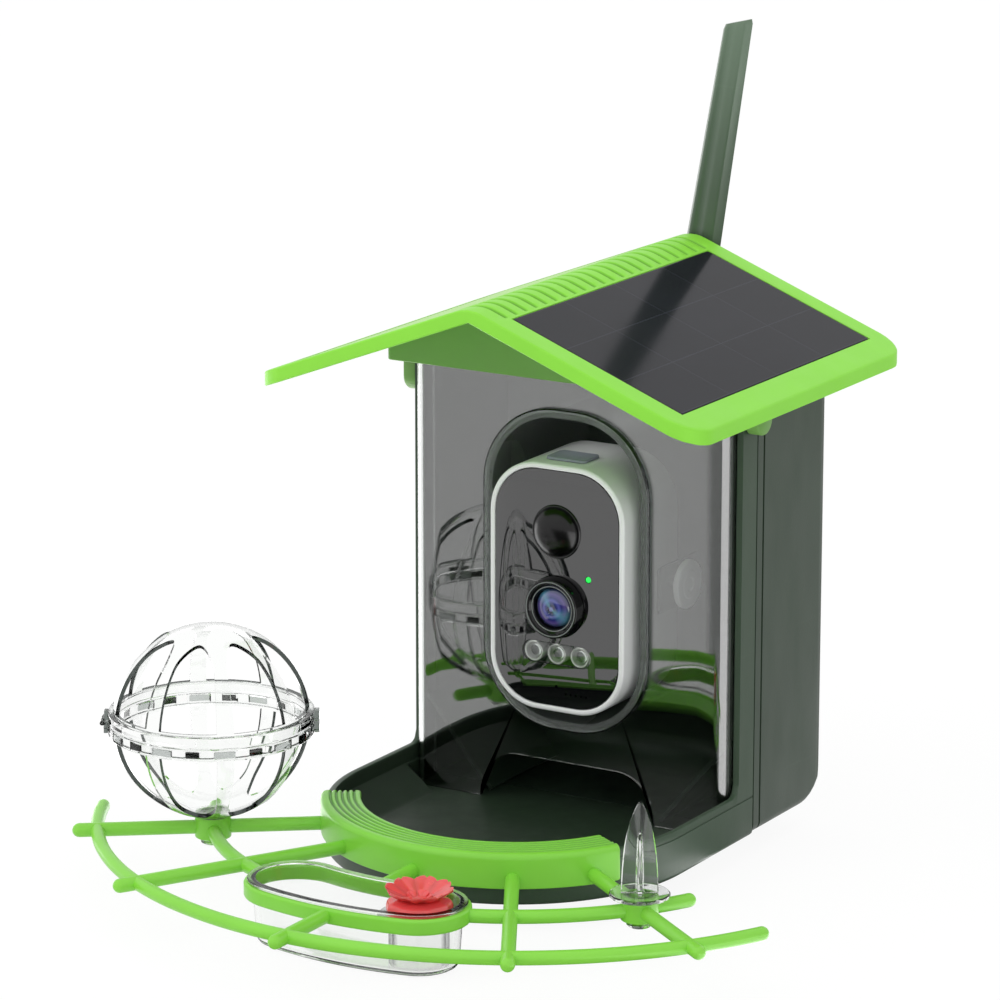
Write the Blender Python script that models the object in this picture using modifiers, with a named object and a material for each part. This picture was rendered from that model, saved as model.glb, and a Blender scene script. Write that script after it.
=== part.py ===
"""Smart bird feeder: a gabled house with a clear seed hopper and a camera, and a clip-on ring of perches.

Metres, +Z up. The front faces -Y, and +X is on the right as seen from the front. The origin is the middle
of the flat underside of the rear shell, where a bracket or pole plate holds the feeder.
"""
from math import asin, atan, cos, hypot, pi, radians, sin, sqrt

import bmesh
import bpy
from mathutils import Matrix, Vector

OBJECT = "smart_bird_feeder"

# Driving dimensions
HOUSE_WIDTH = 0.167
REAR_DEPTH = 0.0664
BACK_Y = 0.042
WALL = 0.003
ROOF_WIDTH = 0.220
ROOF_DEPTH = 0.1973
ROOF_RISE = 0.0421
ROOF_BACK_OVERHANG = 0.026
ROOF_EDGE = 0.00675
UPRIGHT_DEPTH = 0.0125
TRAY_REACH = 0.052
TRAY_HEIGHT = 0.0215
PERCH_DROP = 0.009
CAMERA_WIDTH = 0.0684
CAMERA_HEIGHT = 0.113
CAMERA_DEPTH = 0.054
PORT_SIDE_MARGIN = 0.0081
PORT_END_MARGIN = 0.017
PORT_ABOVE_BASE = 0.0407
HOUSE_ABOVE_PORT = 0.0243

# Clearances, how far a cutter runs past what it cuts, how far joined shapes overlap, and what counts as one point
SEAT_GAP = 0.0003
RUNNING_GAP = 0.0004
OVERRUN = 0.002
BITE = 0.001
WELD = 0.000001

# Places that several pieces share
HALF_HOUSE = HOUSE_WIDTH / 2
HALF_ROOF = ROOF_WIDTH / 2
SEAM_Y = BACK_Y - REAR_DEPTH
FRAME_BACK_Y = SEAM_Y - RUNNING_GAP
UPRIGHT_FRONT_Y = FRAME_BACK_Y - UPRIGHT_DEPTH
TRAY_CENTRE_Y = UPRIGHT_FRONT_Y - TRAY_REACH
PERCH_HEIGHT = TRAY_HEIGHT - PERCH_DROP
PORT_FLANGE_WIDTH = CAMERA_WIDTH + 2 * PORT_SIDE_MARGIN
PORT_FLANGE_HEIGHT = CAMERA_HEIGHT + 2 * PORT_END_MARGIN
PORT_Z = PORT_ABOVE_BASE + PORT_FLANGE_HEIGHT / 2
HOUSE_HEIGHT = PORT_ABOVE_BASE + PORT_FLANGE_HEIGHT + HOUSE_ABOVE_PORT


def make_collection(name):
    group = bpy.data.collections.new(name)
    bpy.context.scene.collection.children.link(group)
    return group


for leftover in list(bpy.data.objects):
    bpy.data.objects.remove(leftover)
PARTS = make_collection(OBJECT)
CUTTERS = make_collection(OBJECT + "_cutters")


# Materials, one for each finish
def make_material(name, srgb, roughness, metallic=0.0, transmission=0.0):
    made = bpy.data.materials.new(name)
    made.use_nodes = True
    shader = made.node_tree.nodes["Principled BSDF"]
    linear = [(c / 12.92 if c <= 0.04045 else ((c + 0.055) / 1.055) ** 2.4) for c in srgb]
    shader.inputs["Base Color"].default_value = (*linear, 1.0)
    shader.inputs["Roughness"].default_value = roughness
    shader.inputs["Metallic"].default_value = metallic
    shader.inputs["Transmission Weight"].default_value = transmission
    return made


BRIGHT_GREEN = make_material("bright_green_plastic", (0.55, 0.85, 0.33), 0.42)
DARK_GREEN = make_material("dark_green_plastic", (0.33, 0.39, 0.34), 0.5)
CLEAR = make_material("clear_plastic", (0.95, 0.96, 0.96), 0.03, transmission=1.0)
WHITE = make_material("white_plastic", (0.88, 0.88, 0.89), 0.35)
BLACK_GLOSS = make_material("black_gloss_plastic", (0.03, 0.03, 0.035), 0.05)
DARK_LENS = make_material("lens_glass", (0.08, 0.07, 0.16), 0.02)
SMOKED = make_material("smoked_dome_plastic", (0.06, 0.07, 0.06), 0.12)
SOLAR = make_material("solar_laminate", (0.28, 0.29, 0.31), 0.25)
RED = make_material("red_silicone", (0.92, 0.29, 0.31), 0.45)
LED_GREEN = make_material("green_led", (0.2, 0.95, 0.3), 0.2)
LED_CLEAR = make_material("led_resin", (0.8, 0.82, 0.82), 0.08)
BOARD = make_material("circuit_board", (0.06, 0.28, 0.14), 0.5)
CELL = make_material("battery_wrap", (0.18, 0.3, 0.55), 0.4)
STEEL = make_material("steel", (0.75, 0.75, 0.74), 0.3, metallic=1.0)
RUBBER = make_material("grey_rubber", (0.45, 0.48, 0.5), 0.4)


# Shapes
def add(name, mesh, group, material=None):
    made = bpy.data.objects.new(name, mesh)
    group.objects.link(made)
    if group is CUTTERS:
        made.hide_render = True
        made.display_type = "WIRE"
    if material:
        mesh.materials.append(material)
    mesh.shade_smooth()
    mesh.set_sharp_from_angle(angle=radians(32))
    return made


def from_bmesh(name, shape, group, material=None):
    mesh = bpy.data.meshes.new(name)
    shape.to_mesh(mesh)
    shape.free()
    return add(name, mesh, group, material)


def block(name, size, centre, group=PARTS, material=None):
    shape = bmesh.new()
    bmesh.ops.create_cube(shape, size=1.0)
    bmesh.ops.scale(shape, vec=size, verts=shape.verts)
    made = from_bmesh(name, shape, group, material)
    made.location = centre
    return made


AXIS_TURN = {"X": Matrix.Rotation(pi / 2, 4, "Y"), "Y": Matrix.Rotation(pi / 2, 4, "X"), "Z": Matrix.Identity(4)}


def rod(name, radius, length, centre, axis="Z", sides=24, group=PARTS, material=None):
    """A plain cylinder whose middle is at centre."""
    shape = bmesh.new()
    bmesh.ops.create_cone(shape, cap_ends=True, segments=sides, radius1=radius, radius2=radius, depth=length)
    bmesh.ops.transform(shape, matrix=AXIS_TURN[axis], verts=shape.verts)
    made = from_bmesh(name, shape, group, material)
    made.location = centre
    return made


def turned(name, profile, centre, axis="Z", sides=32, closed=False, group=PARTS, material=None):
    """Turns (radius, height) points about an axis; axis Y turns heights towards -Y, and X towards +X."""
    mesh = bpy.data.meshes.new(name)
    count = len(profile)
    edges = [(i, i + 1) for i in range(count - 1)]
    if closed:
        edges.append((count - 1, 0))
    mesh.from_pydata([(radius, 0, height) for radius, height in profile], edges, [])
    made = add(name, mesh, group, material)
    made.matrix_world = Matrix.Translation(centre) @ AXIS_TURN[axis]
    screw = made.modifiers.new("turn", "SCREW")
    screw.steps = sides
    screw.render_steps = sides
    screw.use_merge_vertices = True
    screw.merge_threshold = WELD
    screw.use_smooth_shade = True
    return made


PLANE_TURN = {
    "XY": Matrix.Identity(4),
    "XZ": Matrix.Rotation(pi / 2, 4, "X"),
    "YZ": Matrix.Rotation(pi / 2, 4, "Z") @ Matrix.Rotation(pi / 2, 4, "X"),
}


def solid_from_curve(source, name, group, material):
    """Makes a welded mesh of a curve object, which then goes."""
    bpy.context.view_layer.update()
    evaluated = source.evaluated_get(bpy.context.evaluated_depsgraph_get())
    mesh = bpy.data.meshes.new_from_object(evaluated)
    mesh.name = name
    shape = bmesh.new()
    shape.from_mesh(mesh)
    bmesh.ops.remove_doubles(shape, verts=shape.verts, dist=WELD)
    shape.to_mesh(mesh)
    shape.free()
    mesh.materials.clear()
    made = add(name, mesh, group, material)
    made.matrix_world = source.matrix_world.copy()
    curve = source.data
    bpy.data.objects.remove(source)
    bpy.data.curves.remove(curve)
    return made


def prism(name, outlines, thickness, centre, plane="XY", group=PARTS, material=None):
    """Extrudes flat outlines, the first the edge and the rest its holes, square to their plane."""
    curve = bpy.data.curves.new(name, "CURVE")
    curve.dimensions = "2D"
    curve.fill_mode = "BOTH"
    curve.extrude = thickness / 2
    for outline in outlines:
        spline = curve.splines.new("POLY")
        spline.points.add(len(outline) - 1)
        for point, (u, v) in zip(spline.points, outline):
            point.co = (u, v, 0, 1)
        spline.use_cyclic_u = True
    source = bpy.data.objects.new(name + "_curve", curve)
    group.objects.link(source)
    source.matrix_world = Matrix.Translation(centre) @ PLANE_TURN[plane]
    return solid_from_curve(source, name, group, material)


def bar(name, points, radius, group=PARTS, material=None, round_end=False, resolution=3):
    """A round bar through points, with a rounded far end where asked."""
    stations = [(Vector(point), 1.0) for point in points]
    if round_end:
        tip, taper = stations.pop()
        way = (tip - stations[-1][0]).normalized()
        for turn in (0, 45, 75):
            stations.append((tip - way * radius * (1 - sin(radians(turn))), cos(radians(turn))))
    curve = bpy.data.curves.new(name, "CURVE")
    curve.dimensions = "3D"
    curve.bevel_depth = radius
    curve.bevel_resolution = resolution
    curve.use_fill_caps = True
    spline = curve.splines.new("POLY")
    spline.points.add(len(stations) - 1)
    for point, (place, share) in zip(spline.points, stations):
        point.co = (*place, 1)
        point.radius = share
    source = bpy.data.objects.new(name + "_curve", curve)
    group.objects.link(source)
    return solid_from_curve(source, name, group, material)


def loft(name, loops, centre=(0, 0, 0), ring=False, group=PARTS, material=None):
    """Skins matching loops of points in turn; a ring also joins its last loop to its first."""
    shape = bmesh.new()
    rows = [[shape.verts.new(point) for point in loop] for loop in loops]
    pairs = list(zip(rows, rows[1:]))
    if ring:
        pairs.append((rows[-1], rows[0]))
    for one, two in pairs:
        for i in range(len(one)):
            j = (i + 1) % len(one)
            shape.faces.new((one[i], one[j], two[j], two[i]))
    if not ring:
        shape.faces.new(list(reversed(rows[0])))
        shape.faces.new(rows[-1])
    bmesh.ops.recalc_face_normals(shape, faces=shape.faces)
    made = from_bmesh(name, shape, group, material)
    made.location = centre
    return made


def combine(target, other, operation):
    step = target.modifiers.new(operation.lower(), "BOOLEAN")
    step.operation = operation
    step.object = other
    return target


def cut(target, *tools):
    for tool in tools:
        combine(target, tool, "DIFFERENCE")


def join(target, *pieces):
    for piece in pieces:
        combine(target, piece, "UNION")


def carrier(name, place, turn=(0, 0, 0)):
    """An empty on a joint's axis, which its moving pieces hang from."""
    made = bpy.data.objects.new(name, None)
    PARTS.objects.link(made)
    made.location = place
    made.rotation_euler = turn
    made.empty_display_size = WALL
    return made


def hang(empty, *pieces):
    """Parents pieces to an empty and leaves them where they are."""
    bpy.context.view_layer.update()
    inverse = empty.matrix_world.inverted()
    for piece in pieces:
        place = inverse @ piece.matrix_world
        piece.parent = empty
        piece.matrix_local = place


# Outlines
def arc(centre, radius, start, end, steps):
    """Points on an arc, with angles in degrees from +X."""
    turns = [radians(start + (end - start) * i / steps) for i in range(steps + 1)]
    return [(centre[0] + radius * cos(turn), centre[1] + radius * sin(turn)) for turn in turns]


def rounded_box(width, height, radius, steps=6, centre=(0, 0)):
    x = width / 2 - radius
    y = height / 2 - radius
    corners = ((x, -y, -90), (x, y, 0), (-x, y, 90), (-x, -y, 180))
    points = []
    for cx, cy, start in corners:
        points += arc((centre[0] + cx, centre[1] + cy), radius, start, start + 90, steps)
    return points


def polar(radius, degrees):
    """A point at an angle from the tray's centre, where 0 is straight ahead and + is to the right."""
    turn = radians(degrees)
    return (radius * sin(turn), TRAY_CENTRE_Y - radius * cos(turn))


def kidney(half_width, radius, half_turn, along=10, around=8):
    """The outline of a slot bent round the tray, from its right end's outer side anticlockwise."""
    points = []
    for i in range(along + 1):
        points.append(polar(radius + half_width, -half_turn + 2 * half_turn * i / along))
    cx, cy = polar(radius, half_turn)
    points += arc((cx, cy), half_width, half_turn - 90, half_turn + 90, around)[1:-1]
    for i in range(along + 1):
        points.append(polar(radius - half_width, half_turn - 2 * half_turn * i / along))
    cx, cy = polar(radius, -half_turn)
    points += arc((cx, cy), half_width, 90 - half_turn, 270 - half_turn, around)[1:-1]
    return points


# Rear shell: a deep box, open to the front and to the roof, with a rounded back edge underneath
REAR_EDGE_RADIUS = 0.018
GROOVE_FROM_SEAM = 0.0061
GROOVE_WIDTH = 0.0009
GROOVE_DEPTH = 0.0007
ANTENNA_X = -0.0067
ANTENNA_BELOW_TOP = 0.0205
ANTENNA_Z = HOUSE_HEIGHT - ANTENNA_BELOW_TOP
SOCKET_BORE = 0.004


def shell_profile(inset, front, top):
    """The shell's outline in Y and Z, drawn in from its outside by an inset."""
    radius = REAR_EDGE_RADIUS - inset
    points = [(front, inset)]
    points += arc((BACK_Y - REAR_EDGE_RADIUS, REAR_EDGE_RADIUS), radius, -90, 0, 8)
    points += [(BACK_Y - inset, top), (front, top)]
    return points


def make_rear_shell():
    shell = prism("rear_shell", [shell_profile(0, SEAM_Y, HOUSE_HEIGHT)], HOUSE_WIDTH, (0, 0, 0), "YZ",
                  material=DARK_GREEN)
    hollow = prism("rear_hollow", [shell_profile(WALL, SEAM_Y - OVERRUN, HOUSE_HEIGHT + OVERRUN)],
                   HOUSE_WIDTH - 2 * WALL, (0, 0, 0), "YZ", CUTTERS)
    outer = HALF_HOUSE + OVERRUN
    inner = HALF_HOUSE - GROOVE_DEPTH
    top = HOUSE_HEIGHT + OVERRUN
    hoop = [(-outer, top), (-outer, -OVERRUN), (outer, -OVERRUN), (outer, top),
            (inner, top), (inner, GROOVE_DEPTH), (-inner, GROOVE_DEPTH), (-inner, top)]
    groove = prism("rear_groove", [hoop], GROOVE_WIDTH, (0, SEAM_Y + GROOVE_FROM_SEAM, 0), "XZ", CUTTERS)
    bore = rod("antenna_bore", SOCKET_BORE, WALL + 2 * OVERRUN, (ANTENNA_X, BACK_Y - WALL / 2, ANTENNA_Z), "Y",
               group=CUTTERS)
    cut(shell, hollow, groove, bore)


# Front housing: the tray, round at the front, in one moulding with the frame of the hopper
RIM_FILLET = 0.006
FLOOR = 0.003
BOWL_SLOPE = 0.013
BOWL_SLOPE_DROP = 0.0075
BOWL_SLOPE_TOP = TRAY_HEIGHT - BOWL_SLOPE_DROP
BOWL_AHEAD = 0.0137
BOWL_BACK_Y = UPRIGHT_FRONT_Y - BOWL_AHEAD


def tray_outline(inset, back):
    half = HALF_HOUSE - inset
    return [(half, back)] + arc((0, TRAY_CENTRE_Y), half, 0, -180, 36) + [(-half, back)]


def make_front_housing():
    housing = prism("front_housing", [tray_outline(0, FRAME_BACK_Y)], TRAY_HEIGHT, (0, 0, TRAY_HEIGHT / 2),
                    material=DARK_GREEN)
    side = [(FRAME_BACK_Y, FLOOR), (FRAME_BACK_Y, HOUSE_HEIGHT), (UPRIGHT_FRONT_Y, HOUSE_HEIGHT)]
    fillet_y = UPRIGHT_FRONT_Y - RIM_FILLET
    side += arc((fillet_y, TRAY_HEIGHT + RIM_FILLET), RIM_FILLET, 0, -90, 5)
    side += [(fillet_y, FLOOR)]
    uprights = prism("frame_uprights", [side], HOUSE_WIDTH, (0, 0, 0), "YZ", CUTTERS)
    join(housing, uprights)
    hollow_depth = FRAME_BACK_Y + OVERRUN - BOWL_BACK_Y
    hollow = block("hopper_hollow", (HOUSE_WIDTH - 2 * WALL, hollow_depth, HOUSE_HEIGHT),
                   (0, BOWL_BACK_Y + hollow_depth / 2, FLOOR + HOUSE_HEIGHT / 2), CUTTERS)
    levels = ((WALL + BOWL_SLOPE, FLOOR), (WALL, BOWL_SLOPE_TOP), (WALL, TRAY_HEIGHT + OVERRUN))
    loops = [[(x, y, z) for x, y in tray_outline(inset, BOWL_BACK_Y + BITE)] for inset, z in levels]
    bowl = loft("bowl_hollow", loops, group=CUTTERS)
    cut(housing, hollow, bowl)


# Hopper window: one clear sheet bent round both front corners, with a round-ended port and an arch below
WINDOW_PROUD = 0.008
WINDOW_OVERLAP = 0.0088
WINDOW_SHEET = 0.002
WINDOW_CORNER = 0.006
WINDOW_FRONT_Y = UPRIGHT_FRONT_Y - WINDOW_PROUD
WINDOW_BACK_Y = UPRIGHT_FRONT_Y + WINDOW_OVERLAP
ARCH_HALF_FOOT = 0.0450
ARCH_HALF_TOP = 0.0260
ARCH_TOP_Z = 0.0255
PORT_FLANGE_RADIUS = 0.037
PORT_LIP = 0.002
HALF_WINDOW = HALF_HOUSE - WALL - SEAT_GAP
WINDOW_FOOT_Z = FLOOR + SEAT_GAP


def port_outline(inset):
    return rounded_box(PORT_FLANGE_WIDTH - 2 * inset, PORT_FLANGE_HEIGHT - 2 * inset,
                       PORT_FLANGE_RADIUS - inset, 7)


def make_hopper_window():
    centre_x = HALF_WINDOW - WINDOW_CORNER
    centre_y = WINDOW_FRONT_Y + WINDOW_CORNER
    outline = [(HALF_WINDOW, WINDOW_BACK_Y)] + arc((centre_x, centre_y), WINDOW_CORNER, 0, -90, 6)
    outline += arc((-centre_x, centre_y), WINDOW_CORNER, -90, -180, 6) + [(-HALF_WINDOW, WINDOW_BACK_Y)]
    inner = WINDOW_CORNER - WINDOW_SHEET
    outline += [(-HALF_WINDOW + WINDOW_SHEET, WINDOW_BACK_Y)]
    outline += arc((-centre_x, centre_y), inner, -180, -90, 5) + arc((centre_x, centre_y), inner, -90, 0, 5)
    outline += [(HALF_WINDOW - WINDOW_SHEET, WINDOW_BACK_Y)]
    height = HOUSE_HEIGHT - WINDOW_FOOT_Z
    window = prism("hopper_window", [outline], height, (0, 0, WINDOW_FOOT_Z + height / 2), material=CLEAR)
    sheet_y = WINDOW_FRONT_Y + WINDOW_SHEET / 2
    depth = WINDOW_SHEET + 2 * OVERRUN
    port = prism("window_port", [port_outline(PORT_LIP)], depth, (0, sheet_y, PORT_Z), "XZ", CUTTERS)
    rise = ARCH_TOP_Z - WINDOW_FOOT_Z
    spread = ARCH_HALF_FOOT - ARCH_HALF_TOP
    right = []
    for i in range(7):
        turn = pi / 2 * i / 6
        right.append((ARCH_HALF_TOP + spread * cos(turn), WINDOW_FOOT_Z + rise * sin(turn)))
    low = WINDOW_FOOT_Z - OVERRUN
    arch = [(ARCH_HALF_FOOT, low)] + right + [(-x, z) for x, z in reversed(right)] + [(-ARCH_HALF_FOOT, low)]
    arch_cutter = prism("window_arch", [arch], depth, (0, sheet_y, 0), "XZ", CUTTERS)
    cut(window, port, arch_cutter)


# Camera tunnel: a clear tube through the port to the back wall, with a lip in front of the window
TUNNEL_WALL = 0.002
LIP_THICKNESS = 0.0017
RIB_HEIGHT = 0.021
RIB_THICKNESS = 0.0012
RIB_LENGTH = 0.038
FACE_PROUD = 0.0094
TILT_BEHIND_FACE = 0.0394
TILT_BELOW_PORT = 0.0061
FACE_Y = WINDOW_FRONT_Y - FACE_PROUD
TILT_Y = FACE_Y + TILT_BEHIND_FACE
TILT_Z = PORT_Z - TILT_BELOW_PORT
SHANK_RADIUS = 0.002
SHANK_BORE = SHANK_RADIUS + RUNNING_GAP
TUNNEL_INSET = PORT_LIP + SEAT_GAP
TUNNEL_HALF = PORT_FLANGE_WIDTH / 2 - TUNNEL_INSET
LIP_BACK_Y = WINDOW_FRONT_Y - SEAT_GAP
LIP_FRONT_Y = LIP_BACK_Y - LIP_THICKNESS


def make_camera_tunnel():
    rear = BACK_Y - WALL - SEAT_GAP
    bore = TUNNEL_INSET + TUNNEL_WALL
    stations = ((0, LIP_FRONT_Y), (0, LIP_BACK_Y), (TUNNEL_INSET, LIP_BACK_Y), (TUNNEL_INSET, rear), (bore, rear),
                (bore, LIP_FRONT_Y))
    loops = [[(x, y, PORT_Z + z) for x, z in port_outline(inset)] for inset, y in stations]
    tunnel = loft("camera_tunnel", loops, ring=True, material=CLEAR)
    for side, word in ((-1, "left"), (1, "right")):
        width = RIB_THICKNESS + BITE
        rib = block("tunnel_rib_" + word, (width, RIB_LENGTH, RIB_HEIGHT),
                    (side * (TUNNEL_HALF - BITE + width / 2), TILT_Y, TILT_Z), CUTTERS)
        join(tunnel, rib)
    bores = rod("tunnel_shank_bores", SHANK_BORE, PORT_FLANGE_WIDTH, (0, TILT_Y, TILT_Z), "X", group=CUTTERS)
    cut(tunnel, bores)


# Seed ramps: sloping sheets that lead seed from the side walls to the arch
RAMP_SHEET = 0.002
RAMP_TOP_Z = 0.0435


def make_seed_ramps():
    top_x = HALF_WINDOW - WINDOW_SHEET - SEAT_GAP
    run = top_x - ARCH_HALF_FOOT
    fall = RAMP_TOP_Z - WINDOW_FOOT_Z
    drop = RAMP_SHEET * hypot(run, fall) / run
    front = WINDOW_FRONT_Y + WINDOW_SHEET + SEAT_GAP + WINDOW_CORNER
    rear = BACK_Y - REAR_EDGE_RADIUS
    foot_run = run * drop / fall
    for side, word in ((-1, "left"), (1, "right")):
        outline = [(side * top_x, RAMP_TOP_Z), (side * top_x, RAMP_TOP_Z - drop),
                   (side * (ARCH_HALF_FOOT + foot_run), WINDOW_FOOT_Z), (side * ARCH_HALF_FOOT, WINDOW_FOOT_Z)]
        prism("seed_ramp_" + word, [outline], rear - front, (0, (front + rear) / 2, 0), "XZ", material=DARK_GREEN)


# Roof: a gabled shell with a turned-down rim, grooves over its ridge and a recess for each panel
ROOF_SKIN = 0.0042
ROOF_RIM = 0.0035
ROOF_CORNER = 0.015
RIDGE_RADIUS = 0.018
RIDGE_GROOVES = 22
RIDGE_GROOVE_HALF = 0.0125
RIDGE_GROOVE_WIDTH = 0.0018
RIDGE_GROOVE_DEPTH = 0.0009
GROOVE_END_MARGIN = 0.011
PANEL_RIDGE_MARGIN = 0.0143
PANEL_EAVE_MARGIN = 0.0132
PANEL_END_MARGIN = 0.0122
PANEL_RECESS = 0.0022
PANEL_THICKNESS = 0.0018
SLOPE = atan(ROOF_RISE / HALF_ROOF)
ROOF_BACK_Y = BACK_Y + ROOF_BACK_OVERHANG
ROOF_FRONT_Y = ROOF_BACK_Y - ROOF_DEPTH
ROOF_MID_Y = (ROOF_FRONT_Y + ROOF_BACK_Y) / 2
EAVES_Z = HOUSE_HEIGHT + RUNNING_GAP + ROOF_SKIN - ROOF_RISE * (1 - HALF_HOUSE / HALF_ROOF)
RIDGE_Z = EAVES_Z + ROOF_RISE


def slope_z(x):
    """The height of the unrounded roof surface over x."""
    return EAVES_Z + ROOF_RISE * (1 - abs(x) / HALF_ROOF)


def gable_outline(half, drop, bottom):
    """A gable of straight slopes, lowered by a drop, down to flat or following eaves."""
    apex = RIDGE_Z - drop
    foot = slope_z(half) - drop
    return [(half, bottom), (half, foot), (0, apex), (-half, foot), (-half, bottom)]


def make_roof_shell():
    ridge_z = RIDGE_Z - RIDGE_RADIUS / cos(SLOPE)
    degrees_off = SLOPE * 180 / pi
    top = arc((0, ridge_z), RIDGE_RADIUS, 90 - degrees_off, 90 + degrees_off, 6)
    edge = EAVES_Z - ROOF_EDGE
    outline = [(HALF_ROOF, edge), (HALF_ROOF, EAVES_Z)] + top
    outline += [(-HALF_ROOF, EAVES_Z), (-HALF_ROOF, edge), (0, RIDGE_Z - ROOF_EDGE)]
    roof = prism("roof_shell", [outline], ROOF_DEPTH + OVERRUN, (0, ROOF_MID_Y, 0), "XZ", material=BRIGHT_GREEN)
    height = ROOF_RISE + ROOF_EDGE + 2 * OVERRUN
    mid_z = (RIDGE_Z + EAVES_Z - ROOF_EDGE) / 2
    plan = prism("roof_plan", [rounded_box(ROOF_WIDTH, ROOF_DEPTH, ROOF_CORNER)], height,
                 (0, ROOF_MID_Y, mid_z), "XY", CUTTERS)
    combine(roof, plan, "INTERSECT")
    half = HALF_ROOF - ROOF_RIM
    pocket = prism("roof_pocket", [gable_outline(half, ROOF_SKIN, EAVES_Z - ROOF_EDGE - ROOF_RISE)], ROOF_DEPTH,
                   (0, ROOF_MID_Y, 0), "XZ", CUTTERS)
    plan_in = prism("roof_pocket_plan", [rounded_box(2 * half, ROOF_DEPTH - 2 * ROOF_RIM, ROOF_CORNER - ROOF_RIM)],
                    2 * height + 2 * ROOF_RISE, (0, ROOF_MID_Y, EAVES_Z), "XY", CUTTERS)
    combine(pocket, plan_in, "INTERSECT")
    cut(roof, pocket)
    pitch = (ROOF_DEPTH - 2 * GROOVE_END_MARGIN) / (RIDGE_GROOVES - 1)
    reach = asin(RIDGE_GROOVE_HALF / RIDGE_RADIUS) * 180 / pi
    low = arc((0, ridge_z), RIDGE_RADIUS - RIDGE_GROOVE_DEPTH, 90 - reach, 90 + reach, 4)
    high = arc((0, ridge_z), RIDGE_RADIUS + OVERRUN, 90 + reach, 90 - reach, 3)
    grooves = prism("ridge_grooves", [low + high], RIDGE_GROOVE_WIDTH, (0, ROOF_FRONT_Y + GROOVE_END_MARGIN, 0),
                    "XZ", CUTTERS)
    row = grooves.modifiers.new("row", "ARRAY")
    row.count = RIDGE_GROOVES
    row.use_relative_offset = False
    row.use_constant_offset = True
    row.constant_offset_displace = (0, 0, -pitch)
    cut(roof, grooves)
    return roof


def slope_block(name, side, inset, depth, thickness, group, material=None):
    """A block lying in a slope, its top this depth under the surface, inside the panel's margins."""
    near = PANEL_RIDGE_MARGIN + inset
    far = HALF_ROOF - PANEL_EAVE_MARGIN - inset
    length = (far - near) / cos(SLOPE)
    mid_x = (near + far) / 2
    sunk = depth + thickness / 2
    centre = (side * (mid_x - sunk * sin(SLOPE)), ROOF_MID_Y, slope_z(mid_x) - sunk * cos(SLOPE))
    size = (length, ROOF_DEPTH - 2 * (PANEL_END_MARGIN + inset), thickness)
    made = block(name, size, centre, group, material)
    made.rotation_euler = (0, side * SLOPE, 0)
    return made


# Roof skirt: the gabled box under the roof that hides the top of the house, with an ear on each side
SKIRT_SIDE_SPACE = 0.0065
SKIRT_FRONT_SPACE = 0.006
SKIRT_BACK_SPACE = 0.0035
SKIRT_WALL = 0.003
SKIRT_LAP = 0.0109
SKIRT_HALF = HALF_HOUSE + SKIRT_SIDE_SPACE
SKIRT_FRONT_Y = WINDOW_FRONT_Y - SKIRT_FRONT_SPACE
SKIRT_BACK_Y = BACK_Y + SKIRT_BACK_SPACE
SKIRT_BOTTOM_Z = HOUSE_HEIGHT - SKIRT_LAP
EAR_AHEAD = 0.0059
EAR_DROP = 0.0101
EAR_RADIUS = 0.007
EAR_THICKNESS = 0.0065
EAR_Y = SEAM_Y - EAR_AHEAD
EAR_Z = SKIRT_BOTTOM_Z - EAR_DROP


def make_roof_skirt():
    depth = SKIRT_BACK_Y - SKIRT_FRONT_Y
    mid_y = (SKIRT_BACK_Y + SKIRT_FRONT_Y) / 2
    outline = gable_outline(SKIRT_HALF, ROOF_SKIN + SEAT_GAP, SKIRT_BOTTOM_Z)
    skirt = prism("roof_skirt", [outline], depth, (0, mid_y, 0), "XZ", material=BRIGHT_GREEN)
    hollow = block("skirt_hollow", (2 * (SKIRT_HALF - SKIRT_WALL), depth - 2 * SKIRT_WALL, 2 * ROOF_WIDTH),
                   (0, mid_y, SKIRT_BOTTOM_Z), CUTTERS)
    cut(skirt, hollow)
    ear_top = SKIRT_BOTTOM_Z + SKIRT_WALL
    inner = HALF_HOUSE + RUNNING_GAP
    for side, word in ((-1, "left"), (1, "right")):
        profile = [(EAR_Y + EAR_RADIUS, ear_top), (EAR_Y - EAR_RADIUS, ear_top)]
        profile += arc((EAR_Y, EAR_Z), EAR_RADIUS, -180, 0, 8)
        ear = prism("ear_" + word, [profile], EAR_THICKNESS, (side * (inner + EAR_THICKNESS / 2), 0, 0), "YZ",
                    CUTTERS)
        join(skirt, ear)
    return skirt


def make_roof():
    roof = make_roof_shell()
    skirt = make_roof_skirt()
    panels = []
    for side, word in ((-1, "left"), (1, "right")):
        recess = slope_block("panel_recess_" + word, side, 0, -OVERRUN, PANEL_RECESS + OVERRUN, CUTTERS)
        cut(roof, recess)
        seat = PANEL_RECESS - PANEL_THICKNESS - SEAT_GAP
        panels.append(slope_block("solar_panel_" + word, side, SEAT_GAP, seat, PANEL_THICKNESS, PARTS, SOLAR))
    hang(carrier("roof_lift", (0, ROOF_MID_Y, EAVES_Z)), roof, skirt, *panels)


# Antenna: a socket on the back wall, a base that swivels in it, and a blade that folds on the base's fork
ANTENNA_LEAN = radians(9.4)
SOCKET_FLANGE_RADIUS = 0.009
SOCKET_FLANGE = 0.002
SOCKET_RADIUS = 0.0065
SOCKET_LENGTH = 0.010
SOCKET_STUB = 0.006
SPIGOT_RADIUS = 0.003
SPIGOT_LENGTH = 0.008
BASE_RADIUS = 0.0058
KNUCKLE_RADIUS = 0.0050
FORK_HALF = 0.0055
TONGUE_HALF = 0.0026
PIN_RADIUS = 0.0014
BLADE_FOOT = 0.0065
BLADE_LENGTH = 0.152
BLADE_FOOT_WIDTH = 0.0195
BLADE_TIP_WIDTH = 0.0140
BLADE_FOOT_DEPTH = 0.0090
BLADE_TIP_DEPTH = 0.0060
BLADE_BEVEL_SHARE = 0.32
BLADE_TIP_DROP = 0.006
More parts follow.
